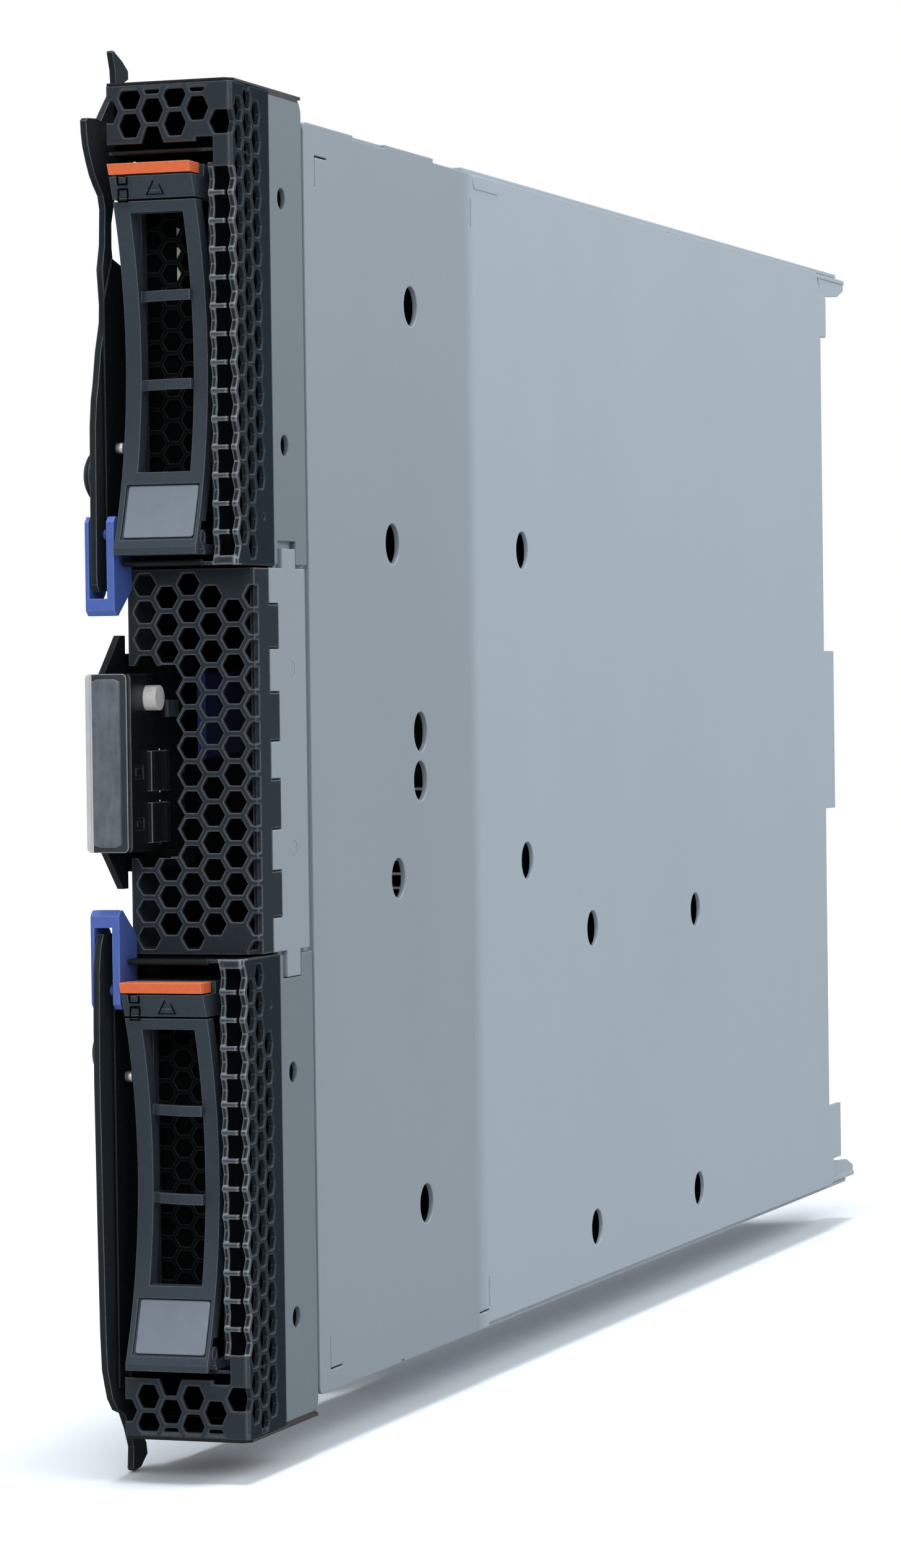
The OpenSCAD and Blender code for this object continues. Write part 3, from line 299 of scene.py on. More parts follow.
black_front = moulded("black_front_plastic", (0.027, 0.035, 0.043), 0.42, 1300.0, 0.00009,
                      edge=(0.21, 0.235, 0.26), shine=0.0, radius=0.0006)
black_bezel = moulded("black_bezel_plastic", (0.017, 0.024, 0.031), 0.42, 1300.0, 0.00009,
                      edge=(0.50, 0.56, 0.60), shine=0.0, radius=0.00062, hollow=True)
key_black = moulded("key_black_gloss", (0.012, 0.016, 0.018), 0.22, 900.0, 0.00001,
                    edge=(0.34, 0.39, 0.42), shine=0.3, radius=0.0004)
smooth_black = moulded("smooth_black_plastic", (0.006, 0.009, 0.010), 0.30, 900.0, 0.00001,
                       edge=(0.07, 0.085, 0.09), shine=0.15)
tray_grey = moulded("tray_grey_plastic", (0.045, 0.058, 0.073), 0.46, 1500.0, 0.00007,
                    edge=(0.20, 0.235, 0.27), shine=0.01)
lever_black = moulded("lever_black_paint", (0.020, 0.026, 0.031), 0.40, 1000.0, 0.00006,
                      edge=(0.26, 0.30, 0.33), shine=0.01)
screen_black = moulded("screen_black", (0.003, 0.004, 0.005), 0.45, 900.0, 0.00002,
                       edge=(0.055, 0.066, 0.074), shine=0.03)
hidden_black = moulded("hidden_black", (0.002, 0.003, 0.003), 0.6, 900.0, 0.00002, shine=0.0)
touch_blue = moulded("touch_point_blue", (0.068, 0.128, 0.43), 0.36, 1100.0, 0.00002,
                     edge=(0.26, 0.36, 0.80), shine=0.35)
release_orange = moulded("release_orange", (0.80, 0.165, 0.055), 0.42, 1100.0, 0.00002,
                         edge=(0.95, 0.50, 0.35), shine=0.25)
ivory = moulded("socket_ivory", (0.55, 0.52, 0.43), 0.5)
key_white = moulded("key_white", (0.66, 0.67, 0.66), 0.30, 900.0, 0.00001)
ferrite = moulded("ferrite_grey", (0.09, 0.09, 0.09), 0.6)
plate_gloss = moulded("blank_plate_gloss", (0.165, 0.198, 0.242), 0.34, 260.0, 0.000004,
                      coat=0.15, shine=0.3)
print("with the plastics:", len(bpy.data.materials), "materials")

# %% [markdown]
# ## Clear and bare finishes
# The light bar at the front is smoky clear plastic. Real refraction would need many light
# bounces through a small part, so Alpha below one lets the housing show through instead, and
# cloudy noise keeps it from looking like empty glass. Heat sinks are bare alloy with a drawn
# grain, which is a noise stretched along Y; contacts are plated.

# %% Clear plastic, alloy, board and contacts
def clear_plastic(name, tone, alpha, rim=(0.75, 0.80, 0.84)):
    """Half-clear plastic: hazy inside, and denser where an edge is near, with a painted highlight
    there.
    """
    g = Graph(name)
    haze = g.noise(120.0, 3.0)
    rounded, near = g.soft_edge(0.00035)
    colour = g.blend(haze, scaled(tone, 0.6), rgb(*tone))
    # Painted highlight: the colour turns pale near each edge.
    colour = g.blend(near, colour, rgb(*rim))
    return g.finish({"Base Color": colour, "Roughness": 0.10,
                     "Alpha": haze * 0.2 + (near * (0.9 - alpha) + alpha),
                     "Coat Weight": 0.5, "Normal": rounded})


def drawn_metal(name, tone, rough, metal=1.0):
    """Metal with fine lines along Y: one stretched noise moves colour, roughness and bump."""
    g = Graph(name)
    line = g.noise(700.0, 2.0, at=g.stretched((1.0, 0.05, 1.0)))
    colour = g.blend(line, scaled(tone, 0.82), rgb(*tone))
    return g.finish({"Base Color": colour, "Metallic": metal,
                     "Roughness": (line - 0.5) * 0.2 + rough, "Normal": g.bump(line, 0.00002)})


def board(name):
    """Green solder mask: copper tracks run under it as slightly paler, raised lines."""
    g = Graph(name)
    cells = g.node("ShaderNodeTexVoronoi", {"distance": "CHEBYCHEV", "feature": "F1"},
                   {"Vector": g.where(), "Scale": 260.0}, out="Distance")
    lines = g.node("ShaderNodeTexWave", {"bands_direction": "Z"},
                   {"Vector": g.where(), "Scale": 260.0, "Distortion": 6.0, "Detail": 1.0},
                   out=1)
    track = (lines > 0.72) * 0.6 + (cells < 0.12) * 0.5
    colour = g.blend(track, rgb(0.004, 0.045, 0.022), rgb(0.03, 0.16, 0.07))
    return g.finish({"Base Color": colour, "Roughness": 0.32, "Coat Weight": 0.3,
                     "Normal": g.bump(track, 0.00002)})


clear_bar = clear_plastic("smoky_clear", (0.10, 0.13, 0.16), 0.22)
clear_guide = clear_plastic("light_guide_clear", (0.075, 0.105, 0.090), 0.97,
                            (0.12, 0.15, 0.135))
alloy = drawn_metal("bare_alloy", (0.62, 0.63, 0.65), 0.35)
dark_alloy = drawn_metal("black_alloy", (0.06, 0.065, 0.075), 0.45, 0.6)
contact_gold = drawn_metal("contact_plating", (0.85, 0.62, 0.25), 0.25)
cell_metal = drawn_metal("cell_plating", (0.70, 0.71, 0.72), 0.22)
drive_case = drawn_metal("drive_case", (0.035, 0.038, 0.042), 0.5, 0.4)
solder_mask = board("solder_mask")
print("with clear and bare finishes:", len(bpy.data.materials), "materials")

# %% [markdown]
# ## Giving each solid its finish
# Each solid came with a plain colour. Its finish could be set where the finish is made, but a
# table from finish to node names keeps the choice in one place and shows what is left out. Only
# the material changes: a solid's mesh and place stay as they came.

# %% Assign the finishes
FINISH = [
    (panel_steel, "base_tray"), (cover_steel, "rear_bracket top_cover"),
    (bracket_steel, "middle_bracket"),
    (strip_steel, "front_frame_upper front_frame_lower"),
    (screen_black, "drive_cage_upper drive_cage_lower"),
    (bright_steel, "lever_pivots board_standoffs board_screws guide_pins cover_hinge_pins"),
    (screen_black, "drive_tray_upper drive_tray_lower"),
    (black_front, "bezel_upper bezel_lower middle_grille"),
    (key_black, "select_button media_button"),
    (smooth_black, "control_housing memory_sockets memory_chips "
                   "battery_holder expansion_connectors midplane_connectors backplane_connectors"),
    (lever_black, "lever_upper lever_lower lever_disc_upper lever_disc_lower"),
    (tray_grey, "handle_upper handle_lower tray_front_upper tray_front_lower"),
    (touch_blue, "latch_upper latch_lower cover_release_upper cover_release_lower"),
    (release_orange, "release_bar_upper release_bar_lower"),
    (clear_bar, "lens_bar"), (clear_guide, "light_guide"), (key_white, "power_button"),
    (solder_mask, "control_board system_board memory_modules drive_backplanes"),
    (alloy, "heat_sinks"), (drive_case, "drive_upper drive_lower"),
    (dark_alloy, "chipset_heat_sink"), (contact_gold, "midplane_contacts"),
    (cell_metal, "battery_cell"), (ferrite, "power_inductors"),
    (ivory, "processor_sockets ejectors_a ejectors_b ejectors_c ejectors_d"),
]
for material, names in FINISH:
    for name in names.split():
        mesh = nodes[name].data
        mesh.materials.clear()
        mesh.materials.append(material)
print("finished", sum(len(names.split()) for _, names in FINISH), "of", len(nodes))

# %% [markdown]
# ## Small surfaces as grids of points
# Each extra piece is a closed skin: rings of points carried along a line, or turned about an
# axis, worked out as whole numpy arrays. The grid gives the quads, the two ends are closed
# with a fan to a middle point, and the sign of the enclosed volume says whether the faces
# already look outwards. Meshes made this way need no clean-up and stay light. Every extra piece
# rides on a body of the frame, so that it moves with its lever or tray.

# %% Skin over rings of points
def skin(name, rings, body, material, ends=True):
    """Closed mesh over rings (n, m, 3): quads between neighbours, fans or a loop at the ends."""
    n, m, _ = rings.shape
    points = rings.reshape(-1, 3)
    rows = n - 1 if ends else n
    i = np.arange(rows)[:, None] * m
    j = np.arange(m)[None, :]
    k, below = (j + 1) % m, (i + m) % (n * m)
    quads = np.stack([i + j, i + k, below + k, below + j], -1).reshape(-1, 4)
    faces = [quads[:, [0, 1, 2]], quads[:, [0, 2, 3]]]
    if ends:
        points = np.vstack([points, rings[0].mean(0), rings[-1].mean(0)])
        a, b = np.arange(m), (np.arange(m) + 1) % m
        faces.append(np.stack([b, a, np.full(m, n * m)], -1))
        faces.append(np.stack([a, b, np.full(m, n * m + 1)], -1) + [(n - 1) * m, (n - 1) * m, 0])
    faces = np.vstack(faces)
    p, q, r = (points[faces[:, c]] for c in range(3))
    if np.einsum("ij,ij->i", p, np.cross(q, r)).sum() < 0:
        faces = faces[:, ::-1]
    mesh = bpy.data.meshes.new(name)
    mesh.from_pydata((points * MM).tolist(), [], faces.tolist())
    mesh.materials.append(material)
    made = bpy.data.objects.new(name, mesh)
    bpy.context.scene.collection.objects.link(made)
    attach(made, body)
    print(name, "on", body, ":", len(points), "points")
    return made


def box_mm(name):
    """The two corners of a node's box."""
    low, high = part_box(name)
    return np.array(low) / MM, np.array(high) / MM


print("ready to skin rings of points")

# %% [markdown]
# ## Blank plates on the drive handles
# The foot of each handle has a sunk bed for an adhesive plate. The real plate carries print;
# here it stays blank, but it keeps its gloss and its thin dark outline. The plate follows the
# hollow front of the handle: a rounded rectangle is shrunk towards its middle ring by ring, and
# every ring is laid on the same circular arc, so the plate bends as the handle does.

# %% Blank plates
TRAYS = {"upper": 195.0, "lower": 47.9}
ARC_R, ARC_Y = 83.85, -80.15
PLATE_LEFT, PLATE_RIGHT = 7.85, 21.35
PLATE_FOOT, PLATE_HEAD = -32.0, -22.6


def dish(z, middle_z):
    """Depth of the hollow front: y = ARC_Y + sqrt(ARC_R^2 - (z - middle)^2)."""
    return ARC_Y + np.sqrt(ARC_R ** 2 - (z - middle_z) ** 2)


def rounded_loop(wide, high, corner, count=48):
    """Loop round a rectangle with round corners: a circle pushed out to four corner centres."""
    turn = np.linspace(0, 2 * math.pi, count, endpoint=False) + 1e-3
    return (np.cos(turn) * corner + np.sign(np.cos(turn)) * (wide / 2 - corner),
            np.sin(turn) * corner + np.sign(np.sin(turn)) * (high / 2 - corner))


def blank_plate(name, body, middle_z, x0, x1, z0, z1):
    """Rings from back to front: floor of the bed, edge, then the face shrinking to its middle."""
    x, z = rounded_loop(x1 - x0, z1 - z0, 0.5)
    scale = np.array([1.0, 1.0, 0.985, 0.75, 0.5, 0.25, 0.05])[:, None]
    proud = np.array([0.75, 0.30, 0.22, 0.22, 0.22, 0.22, 0.22])[:, None]
    px = (x0 + x1) / 2 + scale * x
    pz = (z0 + z1) / 2 + scale * z
    rings = np.stack([px, dish(pz, middle_z) + proud, pz], -1)
    skin(name, rings, body, plate_gloss)


for place, mid_z in TRAYS.items():
    blank_plate("blank_plate_" + place, "tray_handle_" + place, mid_z, PLATE_LEFT, PLATE_RIGHT,
                mid_z + PLATE_FOOT, mid_z + PLATE_HEAD)

# %% [markdown]
# ## Bright rivet stubs beside the levers
# A lever turns on a bracket held by small plated stubs that show as bright dots between the
# lever and the drive trays. The Spin operator or a Screw modifier could turn such a part. Here
# one function does it: pairs of length and radius are the profile, and each pair becomes a ring
# about X, so the rods further down can use the same function.

# %% Stubs
def turned(name, body, material, at, profile, axis=0, count=24):
    """Revolve (length, radius) pairs about an axis through `at`."""
    along, radius = np.array(profile).T
    turn = np.linspace(0, 2 * math.pi, count, endpoint=False)
    u, v = (axis + 1) % 3, (axis + 2) % 3
    rings = np.zeros((len(along), count, 3)) + np.array(at)
    rings[..., axis] += along[:, None]
    rings[..., u] += radius[:, None] * np.cos(turn)
    rings[..., v] += radius[:, None] * np.sin(turn)
    return skin(name, rings, body, material)


STUB = [(0.0, 0.5), (0.15, 0.9), (0.9, 1.05), (1.35, 1.05), (1.5, 0.9), (1.55, 0.3)]
STUB_X, STUB_Y = 4.75, 2.6
for place, z in (("upper", 179.4), ("lower", 65.6)):
    turned("stub_" + place, "chassis", bright_steel, (STUB_X, STUB_Y, z), STUB)

# %% [markdown]
# ## Dark rings on the black sides
# A dark ring round a fixing point on each black side wall is painted shade: it stands for the
# shadow in a groove there, and its bead sits almost flush with the wall. Blender's own Torus would
# do, but the bead is squashed against the wall: a circle of points is carried round a larger
# circle, so both directions of the grid close on themselves and there are no ends to cap.

# %% Rings
def bead_ring(name, body, material, at, big, small):
    """Torus squashed against the wall: big radius in the wall's plane, small bead."""
    turn = np.linspace(0, 2 * math.pi, 40, endpoint=False)[:, None]
    across = np.linspace(0, 2 * math.pi, 10, endpoint=False)[None, :]
    radius = big + small * np.cos(across)
    rings = np.stack([at[0] + 0.6 * small * np.sin(across) + 0 * turn,
                      at[1] + radius * np.cos(turn), at[2] + radius * np.sin(turn)], -1)
    return skin(name, rings, body, material, ends=False)


RING_X, RING_Y, RING_BIG, RING_BEAD = 28.89, 13.5, 1.5, 0.17
for place, z in (("upper", 166.9), ("lower", 78.1)):
    # Painted shade: a near-black ring for the shadow in a groove.
    bead_ring("side_ring_" + place, "chassis", hidden_black, (RING_X, RING_Y, z),
              RING_BIG, RING_BEAD)

# %% [markdown]
# ## The honeycomb front
# The black front is a moulded honeycomb that wraps round the corner: a band of cells at the end,
# a ladder of open cells up the corner, and three columns of cells on the side. Its open, notched
# edges are what catches the light, so it is rebuilt here with soft edges and stands for the
# plainer solid. Each wall is a flat outline with holes. Cutting every cell with a Boolean would
# be slow and leave ragged faces, and a plain grid cannot hold holes. A filled two-dimensional
# curve can: it turns the outline and its holes, all numpy arrays, into a plate and rounds its
# rim. The plate becomes a mesh first, and only then is it laid in its plane.

# %% Flat plates with holes
POINT, SHOULDER, HALF_HIGH = 2.16, 1.2, 2.12
CELL = np.array([[POINT, 0.0], [SHOULDER, HALF_HIGH], [-SHOULDER, HALF_HIGH],
                 [-POINT, 0.0], [-SHOULDER, -HALF_HIGH], [SHOULDER, -HALF_HIGH]])


def cell(at, low=None):
    """Hexagon round `at`; with a lower limit it is sampled and its foot pressed flat."""
    if low is None:
        return CELL + at
    t = np.arange(0, 6, 0.125)
    u = np.interp(t, np.arange(7), np.append(CELL[:, 0], CELL[0, 0])) + at[0]
    v = np.interp(t, np.arange(7), np.append(CELL[:, 1], CELL[0, 1])) + at[1]
    return np.stack([u, np.maximum(v, low)], 1)


def plate(outline, holes, thick, soft=0.12):
    """Points and triangles of a flat plate: filled outline minus holes, rim rounded by soft."""
    curve = bpy.data.curves.new("flat", "CURVE")
    curve.dimensions, curve.fill_mode = "2D", "BOTH"
    curve.extrude, curve.bevel_depth = thick / 2 - soft, soft
    curve.bevel_resolution, curve.offset = 1, -soft
    for loop in [np.array(outline, float)] + holes:
        spline = curve.splines.new("POLY")
        spline.points.add(len(loop) - 1)
        rest = np.tile([0.0, 1.0], (len(loop), 1))
        spline.points.foreach_set("co", np.hstack([loop, rest]).ravel())
        spline.use_cyclic_u = True
    shown = bpy.data.objects.new("flat", curve)
    bpy.context.scene.collection.objects.link(shown)
    ready = shown.evaluated_get(bpy.context.evaluated_depsgraph_get())
    mesh = bpy.data.meshes.new_from_object(ready)
    mesh.calc_loop_triangles()
    points = np.empty(len(mesh.vertices) * 3)
    mesh.vertices.foreach_get("co", points)
    faces = np.empty(len(mesh.loop_triangles) * 3, int)
    mesh.loop_triangles.foreach_get("vertices", faces)
    bpy.data.objects.remove(shown)
    bpy.data.curves.remove(curve)
    bpy.data.meshes.remove(mesh)
    return points.reshape(-1, 3), faces.reshape(-1, 3)


def rectangle(u0, u1, v0, v1, thick, soft=0.12):
    """A plate between two lengths and two heights."""
    return plate([[u0, v0], [u1, v0], [u1, v1], [u0, v1]], [], thick, soft)


def laid(flat, plane, at):
    """Turn (u, v, thickness) into x, y, z: 'xz' faces the front, 'yz' the side, 'xy' lies flat."""
    points, faces = flat
    u, v, w = points.T
    w = w + at
    order = {"xz": (u, w, v), "yz": (w, u, v), "xy": (u, v, w)}[plane]
    return np.stack(order, 1), faces


def assembled(name, parts, body, material, mirror=None):
    """Join plates into one mesh; mirror gives the height about which they are turned over."""
    starts = np.cumsum([0] + [len(points) for points, _ in parts])
    points = np.vstack([points for points, _ in parts])
    faces = np.vstack([faces + start for (_, faces), start in zip(parts, starts)])
    if mirror is not None:
        points[:, 2] = 2 * mirror - points[:, 2]
    mesh = bpy.data.meshes.new(name)
    mesh.from_pydata((points * MM).tolist(), [], faces.tolist())
    tidy = bmesh.new()
    tidy.from_mesh(mesh)
    bmesh.ops.remove_doubles(tidy, verts=tidy.verts, dist=2e-7)
    bmesh.ops.recalc_face_normals(tidy, faces=tidy.faces)
    tidy.to_mesh(mesh)
    tidy.free()
    mesh.materials.append(material)
    made = bpy.data.objects.new(name, mesh)
    bpy.context.scene.collection.objects.link(made)
    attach(made, body)
    print(name, "on", body, ":", len(mesh.polygons), "faces")
    return made


print("one cell is", 2 * POINT, "wide and", 2 * HALF_HIGH, "high")

# %% [markdown]
# ## One front end, used twice
# Heights are measured from the outer end of the blade, so the same arrays serve the lower front
# as they are and the upper front turned over. A Mirror modifier would do that too, but the
# finished mesh has to hold its own place. The ladder's cells run through the corner: they bite
# a zigzag into the edge of the side wall and of the guide wall behind the rungs. Every row of
# cells comes from one pitch and the height of the first cell.

# %% Honeycomb front
PITCH, FIRST = 5.06, 7.8
COLUMNS = (3.55, 7.85, 12.15)
SIDE_X, GUIDE_X, DEEP_X = 28.42, 24.6, 5.4
FRONT_DEEP, FRONT_END = 18.4, 87.1
NOTCH_LIP = 0.25


def step(j):
    """Height of row j of the cells."""
    return FIRST + PITCH * j


LADDER = [step(j) for j in range(2, 16)]


def zigzag(edge, deep, heights):
    """Points up an edge at y = edge that dips to `deep` at the middle of each cell."""
    rise = np.array([-HALF_HIGH, -HALF_HIGH, 0.0, HALF_HIGH, HALF_HIGH])
    dips = np.array([edge, edge + NOTCH_LIP, deep, edge + NOTCH_LIP, edge])
    return [[dip, height + lift] for height in heights for dip, lift in zip(dips, rise)]


def band_plate():
    """The band across the end: eight cells, a notch at the corner and one at the other side."""
    outline = [[4.8, 0.5], [28.3, 0.5], [28.3, 5.68], [25.6, 5.68], [24.5, 7.8], [25.6, 9.92],
               [28.3, 9.92], [28.3, 15.75], [25.3, 15.75], [25.3, 10.7], [25.0, 10.35],
               [21.9, 10.35], [21.9, 11.1], [15.8, 11.1], [14.7, 8.1], [12.5, 8.1],
               [11.4, 11.1], [4.8, 11.1], [4.8, 7.15], [6.1, 7.15], [7.05, 5.15],
               [6.1, 3.2], [4.8, 3.2]]
    cells = []
    for x, upper, lower in ((9.3, 7.8, 2.68), (13.65, 5.2, 0.1), (18.0, 7.8, 2.68),
                            (22.35, 5.2, 0.1)):
        cells += [cell((x, upper)), cell((x, lower), low=0.95)]
    return plate(outline, cells, 1.0, 0.14)


def side_plate():
    """The side wall: a notched front edge, three columns of cells and one small round hole."""
    near, middle, far = COLUMNS
    edge = zigzag(0.35, 1.7, [FIRST] + LADDER)
    outline = ([[0.35, 0.5]] + edge
               + [[0.35, FRONT_END], [FRONT_DEEP + 0.1, FRONT_END], [FRONT_DEEP + 0.1, 0.5]])
    turn = np.arange(0, 6.2, 0.4)
    small = np.array([RING_Y, 78.1]) + 0.55 * np.stack([np.cos(turn), np.sin(turn)], 1)
    cells = ([cell((near, step(j + 0.5))) for j in range(-1, 15)]
             + [cell((middle, step(j))) for j in range(-1, 16)]
             + [cell((far, step(j + 0.5))) for j in range(-1, 13)])
    return plate(outline, cells + [small], 1.15, 0.14)


def front_end():
    """All plates of one end: band, side wall, guide wall, rungs, and the walls behind them."""
    guide = [[0.3, 15.0]] + zigzag(0.3, 1.25, LADDER) + [[0.3, 87.0], [9.0, 87.0], [9.0, 15.0]]
    parts = [laid(band_plate(), "xz", 0.5), laid(side_plate(), "yz", SIDE_X),
             laid(plate(guide, [], 1.0, 0.14), "yz", GUIDE_X)]
    for j in range(2, 15):
        points, faces = laid(rectangle(24.3, 27.3, -0.42, 0.42, 1.0, 0.16), "xz", 0.5)
        parts.append((points + [0, 0, step(j + 0.5)], faces))
    parts += [laid(rectangle(4.9, 28.6, 0.2, FRONT_DEEP, 1.0), "xy", 1.0),
              laid(rectangle(4.9, 28.0, 0.7, FRONT_DEEP, 0.6), "xy", 12.6),
              laid(rectangle(6.5, 28.0, 0.7, FRONT_DEEP, 0.7), "xy", 86.7),
              laid(rectangle(3.0, FRONT_DEEP, 1.0, 12.6, 0.9), "yz", DEEP_X),
              laid(rectangle(24.3, 28.2, 85.4, 87.0, 1.0), "xz", 0.6)]
    return parts


for place, mirror in (("lower", None), ("upper", MIDDLE_Z)):
    front = assembled("honeycomb_front_" + place, front_end(), "chassis", black_bezel, mirror)
    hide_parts("bezel_" + place)

# %% [markdown]
# ## Rods over the drive openings
# A polished round edge runs above and below each drive opening and shows as one bright line.
# A bevelled box would do at this size, but a turned bar along X takes the light more evenly and
# comes from the function made for the stubs. Its ends are rounded by two short steps.

# %% Edge rods
SHELF_ROD = [(0.0, 0.1), (0.1, 0.4), (0.35, 0.58), (15.6, 0.58), (15.9, 0.3)]
BAND_ROD = [(0.0, 0.1), (0.1, 0.25), (0.3, 0.34), (17.0, 0.34), (17.2, 0.1)]
for place, z in (("lower_shelf", 86.55), ("upper_shelf", 158.45)):
    turned("rod_" + place, "chassis", smooth_black, (6.3, 0.75, z), SHELF_ROD)
for place, z in (("lower_band", 12.55), ("upper_band", 232.45)):
    turned("rod_" + place, "chassis", smooth_black, (5.6, 0.8, z), BAND_ROD)

# %% [markdown]
# ## Dark guards, end walls and baffles
# Seen at a low angle, daylight would shine through the narrow gaps of the front, where the real
# blade has folded sheet and moulded ribs. Guards stand between each lever and its drive tray,
# end walls close the bands and the slots beside the control panel, and baffles close the slots
# above, below and behind that panel. Making the openings smaller would change their look, so
# they stay, and thin dark sheets stand behind them, made like the plates of the front.

# %% Guards, end walls and baffles
GUARD_X, BAND_WALL_Y, SLOT_WALL_Y, BAFFLE_X, SHEET_X = 3.25, 18.78, 9.4, 9.1, 4.2
upper_guard = [[1.0, 156.3], [25.0, 156.3], [25.0, 231.5], [13.0, 231.5], [13.0, 212.0],
               [5.0, 214.0], [1.0, 206.0]]
guards = [laid(rectangle(1.0, 25.0, 9.0, 89.0, 0.4, 0.1), "yz", GUARD_X),
          laid(plate(upper_guard, [], 0.4, 0.1), "yz", GUARD_X)]
assembled("lever_guards", guards, "chassis", smooth_black)

walls = [laid(rectangle(4.9, 27.9, low, low + 11.0, 0.36, 0.1), "xz", BAND_WALL_Y)
         for low in (1.3, 232.7)]
walls += [laid(rectangle(2.5, 10.3, low, low + 4.4, 0.4, 0.1), "xz", SLOT_WALL_Y)
          for low in (102.5, 137.9)]
assembled("end_walls", walls, "chassis", hidden_black)

baffles = [laid(rectangle(9.2, 26.0, low, low + 2.9, 0.5, 0.1), "yz", BAFFLE_X)
           for low in (138.7, 103.4)]
baffles.append(laid(rectangle(24.2, 107.0, 97.0, 148.0, 0.3, 0.1), "yz", SHEET_X))
assembled("panel_baffles", baffles, "chassis", smooth_black)

# %% [markdown]
# ## Blind holes in the strips
# The round holes in the front strips end on the sheet behind and look black in their shade.
# Painting that sheet would need a mask in its material, so a dark disc of painted shade lies at
# the foot of each hole instead. The two small holes of the middle bracket hold flush plugs of the
# same steel.
# A disc is a circle of points made into a thin plate.

# %% Discs in the strips
def disc(y, z, radius):
    """Circle of points: y + radius cos a, z + radius sin a."""
    turn = np.linspace(0, 2 * math.pi, 32, endpoint=False)
    return np.column_stack([y + radius * np.cos(turn), z + radius * np.sin(turn)])


HOLE_Y, HOLE_HEIGHTS = 24.3, (19.7, 64.9, 180.1, 225.3)
PLUG_Y, PLUG_HEIGHTS = 26.5, (106.0, 139.0)
# Painted shade: a dark disc at the foot of each hole.
shades = [laid(plate(disc(HOLE_Y, z, 2.5), [], 0.12, 0.04), "yz", 28.1) for z in HOLE_HEIGHTS]
assembled("strip_hole_shades", shades, "chassis", hidden_black)
plugs = [laid(plate(disc(PLUG_Y, z, 1.47), [], 0.4, 0.05), "yz", 28.78) for z in PLUG_HEIGHTS]
assembled("bracket_plugs", plugs, "chassis", bracket_steel)

# %% [markdown]
# ## Behind the drive screens
# A dark sheet stands close behind each drive screen as painted shade, so that the cells look deep.
# In the upper tray three glints show through the cells, and they are painted: lamps or bright
# spots in a material would slide or glow in other light, so each glint is a thin pale plate: a
# half ellipse given by its half width and half height.

# %% Behind the screens
def crescent(x, z, wide, high):
    """Half ellipse, round side to +X: x + wide cos a, z + high sin a, closed by a chord."""
    turn = np.linspace(-math.pi / 2, math.pi / 2, 17)
    return np.column_stack([x + wide * np.cos(turn), z + high * np.sin(turn)])


SHADE_SHEET_Y, GLINT_Y, SCREEN_HIGH = 12.08, 11.92, 66.0
for place, foot in (("upper", 161.8), ("lower", 14.8)):
    # Painted shade: a dark sheet behind each screen.
    sheet = laid(rectangle(7.3, 21.0, foot, foot + SCREEN_HIGH, 0.1, 0.04), "xz", SHADE_SHEET_Y)
    assembled("shade_sheet_" + place, [sheet], "tray_" + place, hidden_black)
# Painted glints: pale plates in the ivory finish.
glints = [laid(plate(crescent(13.3, z, 1.0, 1.55), [], 0.1, 0.04), "xz", GLINT_Y)
          for z in (218.2, 214.6, 211.3)]
assembled("screen_glints", glints, "tray_upper", ivory)

# %% [markdown]
# ## Marks on the tray caps
# Each cap carries two small windows and a triangle, drawn by fine grooves that look dark in their
# shade. Cutting such a groove would need many small faces in the solid, so a thin dark loop of
# painted shade shows it: the outline of the mark, less the same outline drawn smaller. Both trays
# carry the same marks at the same heights above their middle.

# %% Cap marks
def mark(points, line=0.3):
    """Loop of constant width: each corner moves towards the middle by its share of `line`."""
    points = np.array(points)
    middle = points.mean(0)
    reach = np.abs(points - middle).max(0)
    return plate(points, [middle + (points - middle) * (1 - line / reach)], 0.08, 0.03)


WINDOWS = ((28.2, -2.68), (31.3, -2.95))
for place, mid in TRAYS.items():
    parts = []
    for low, y in WINDOWS:
        foot, head = mid + low, mid + low + 2.5
        parts.append(laid(mark([[7.9, foot], [10.0, foot], [10.0, head], [7.9, head]]), "xz", y))
    triangle = [[13.2, mid + 29.4], [16.8, mid + 29.4], [15.0, mid + 32.8]]
    parts.append(laid(mark(triangle, 0.36), "xz", -2.32))
    # Painted shade: the dark loops stand for the shadow in each groove.
    assembled("cap_marks_" + place, parts, "tray_" + place, hidden_black)

# %% [markdown]
# ## Inside the light bar
# The smoky bar holds a long clear light pipe that scatters light unevenly: pale streaks in a
# grey haze. A volume shader could scatter the light, but it is slow and a baked model loses it,
# so the pipe is a solid bar with a cloudy skin: a rounded loop carried along Z that narrows at
# both ends.

# %% Light pipe
def cloudy(name, dark, pale):
    """Pale streaks in a haze: two noises, one drawn out along Z, pushed apart by a fade."""
    g = Graph(name)
    broad = g.noise(130.0, 4.0, 0.65)
    drawn = g.noise(420.0, 3.0, 0.6, at=g.stretched((1.0, 1.0, 0.18)))
    haze = broad * 0.55 + drawn * 0.45
    return g.finish({"Base Color": g.blend(g.fade(haze, 0.36, 0.66), rgb(*dark), rgb(*pale)),
                     "Roughness": 0.25 + haze * 0.2, "Coat Weight": 0.4,
                     "Normal": g.bump(haze, 0.00008)})


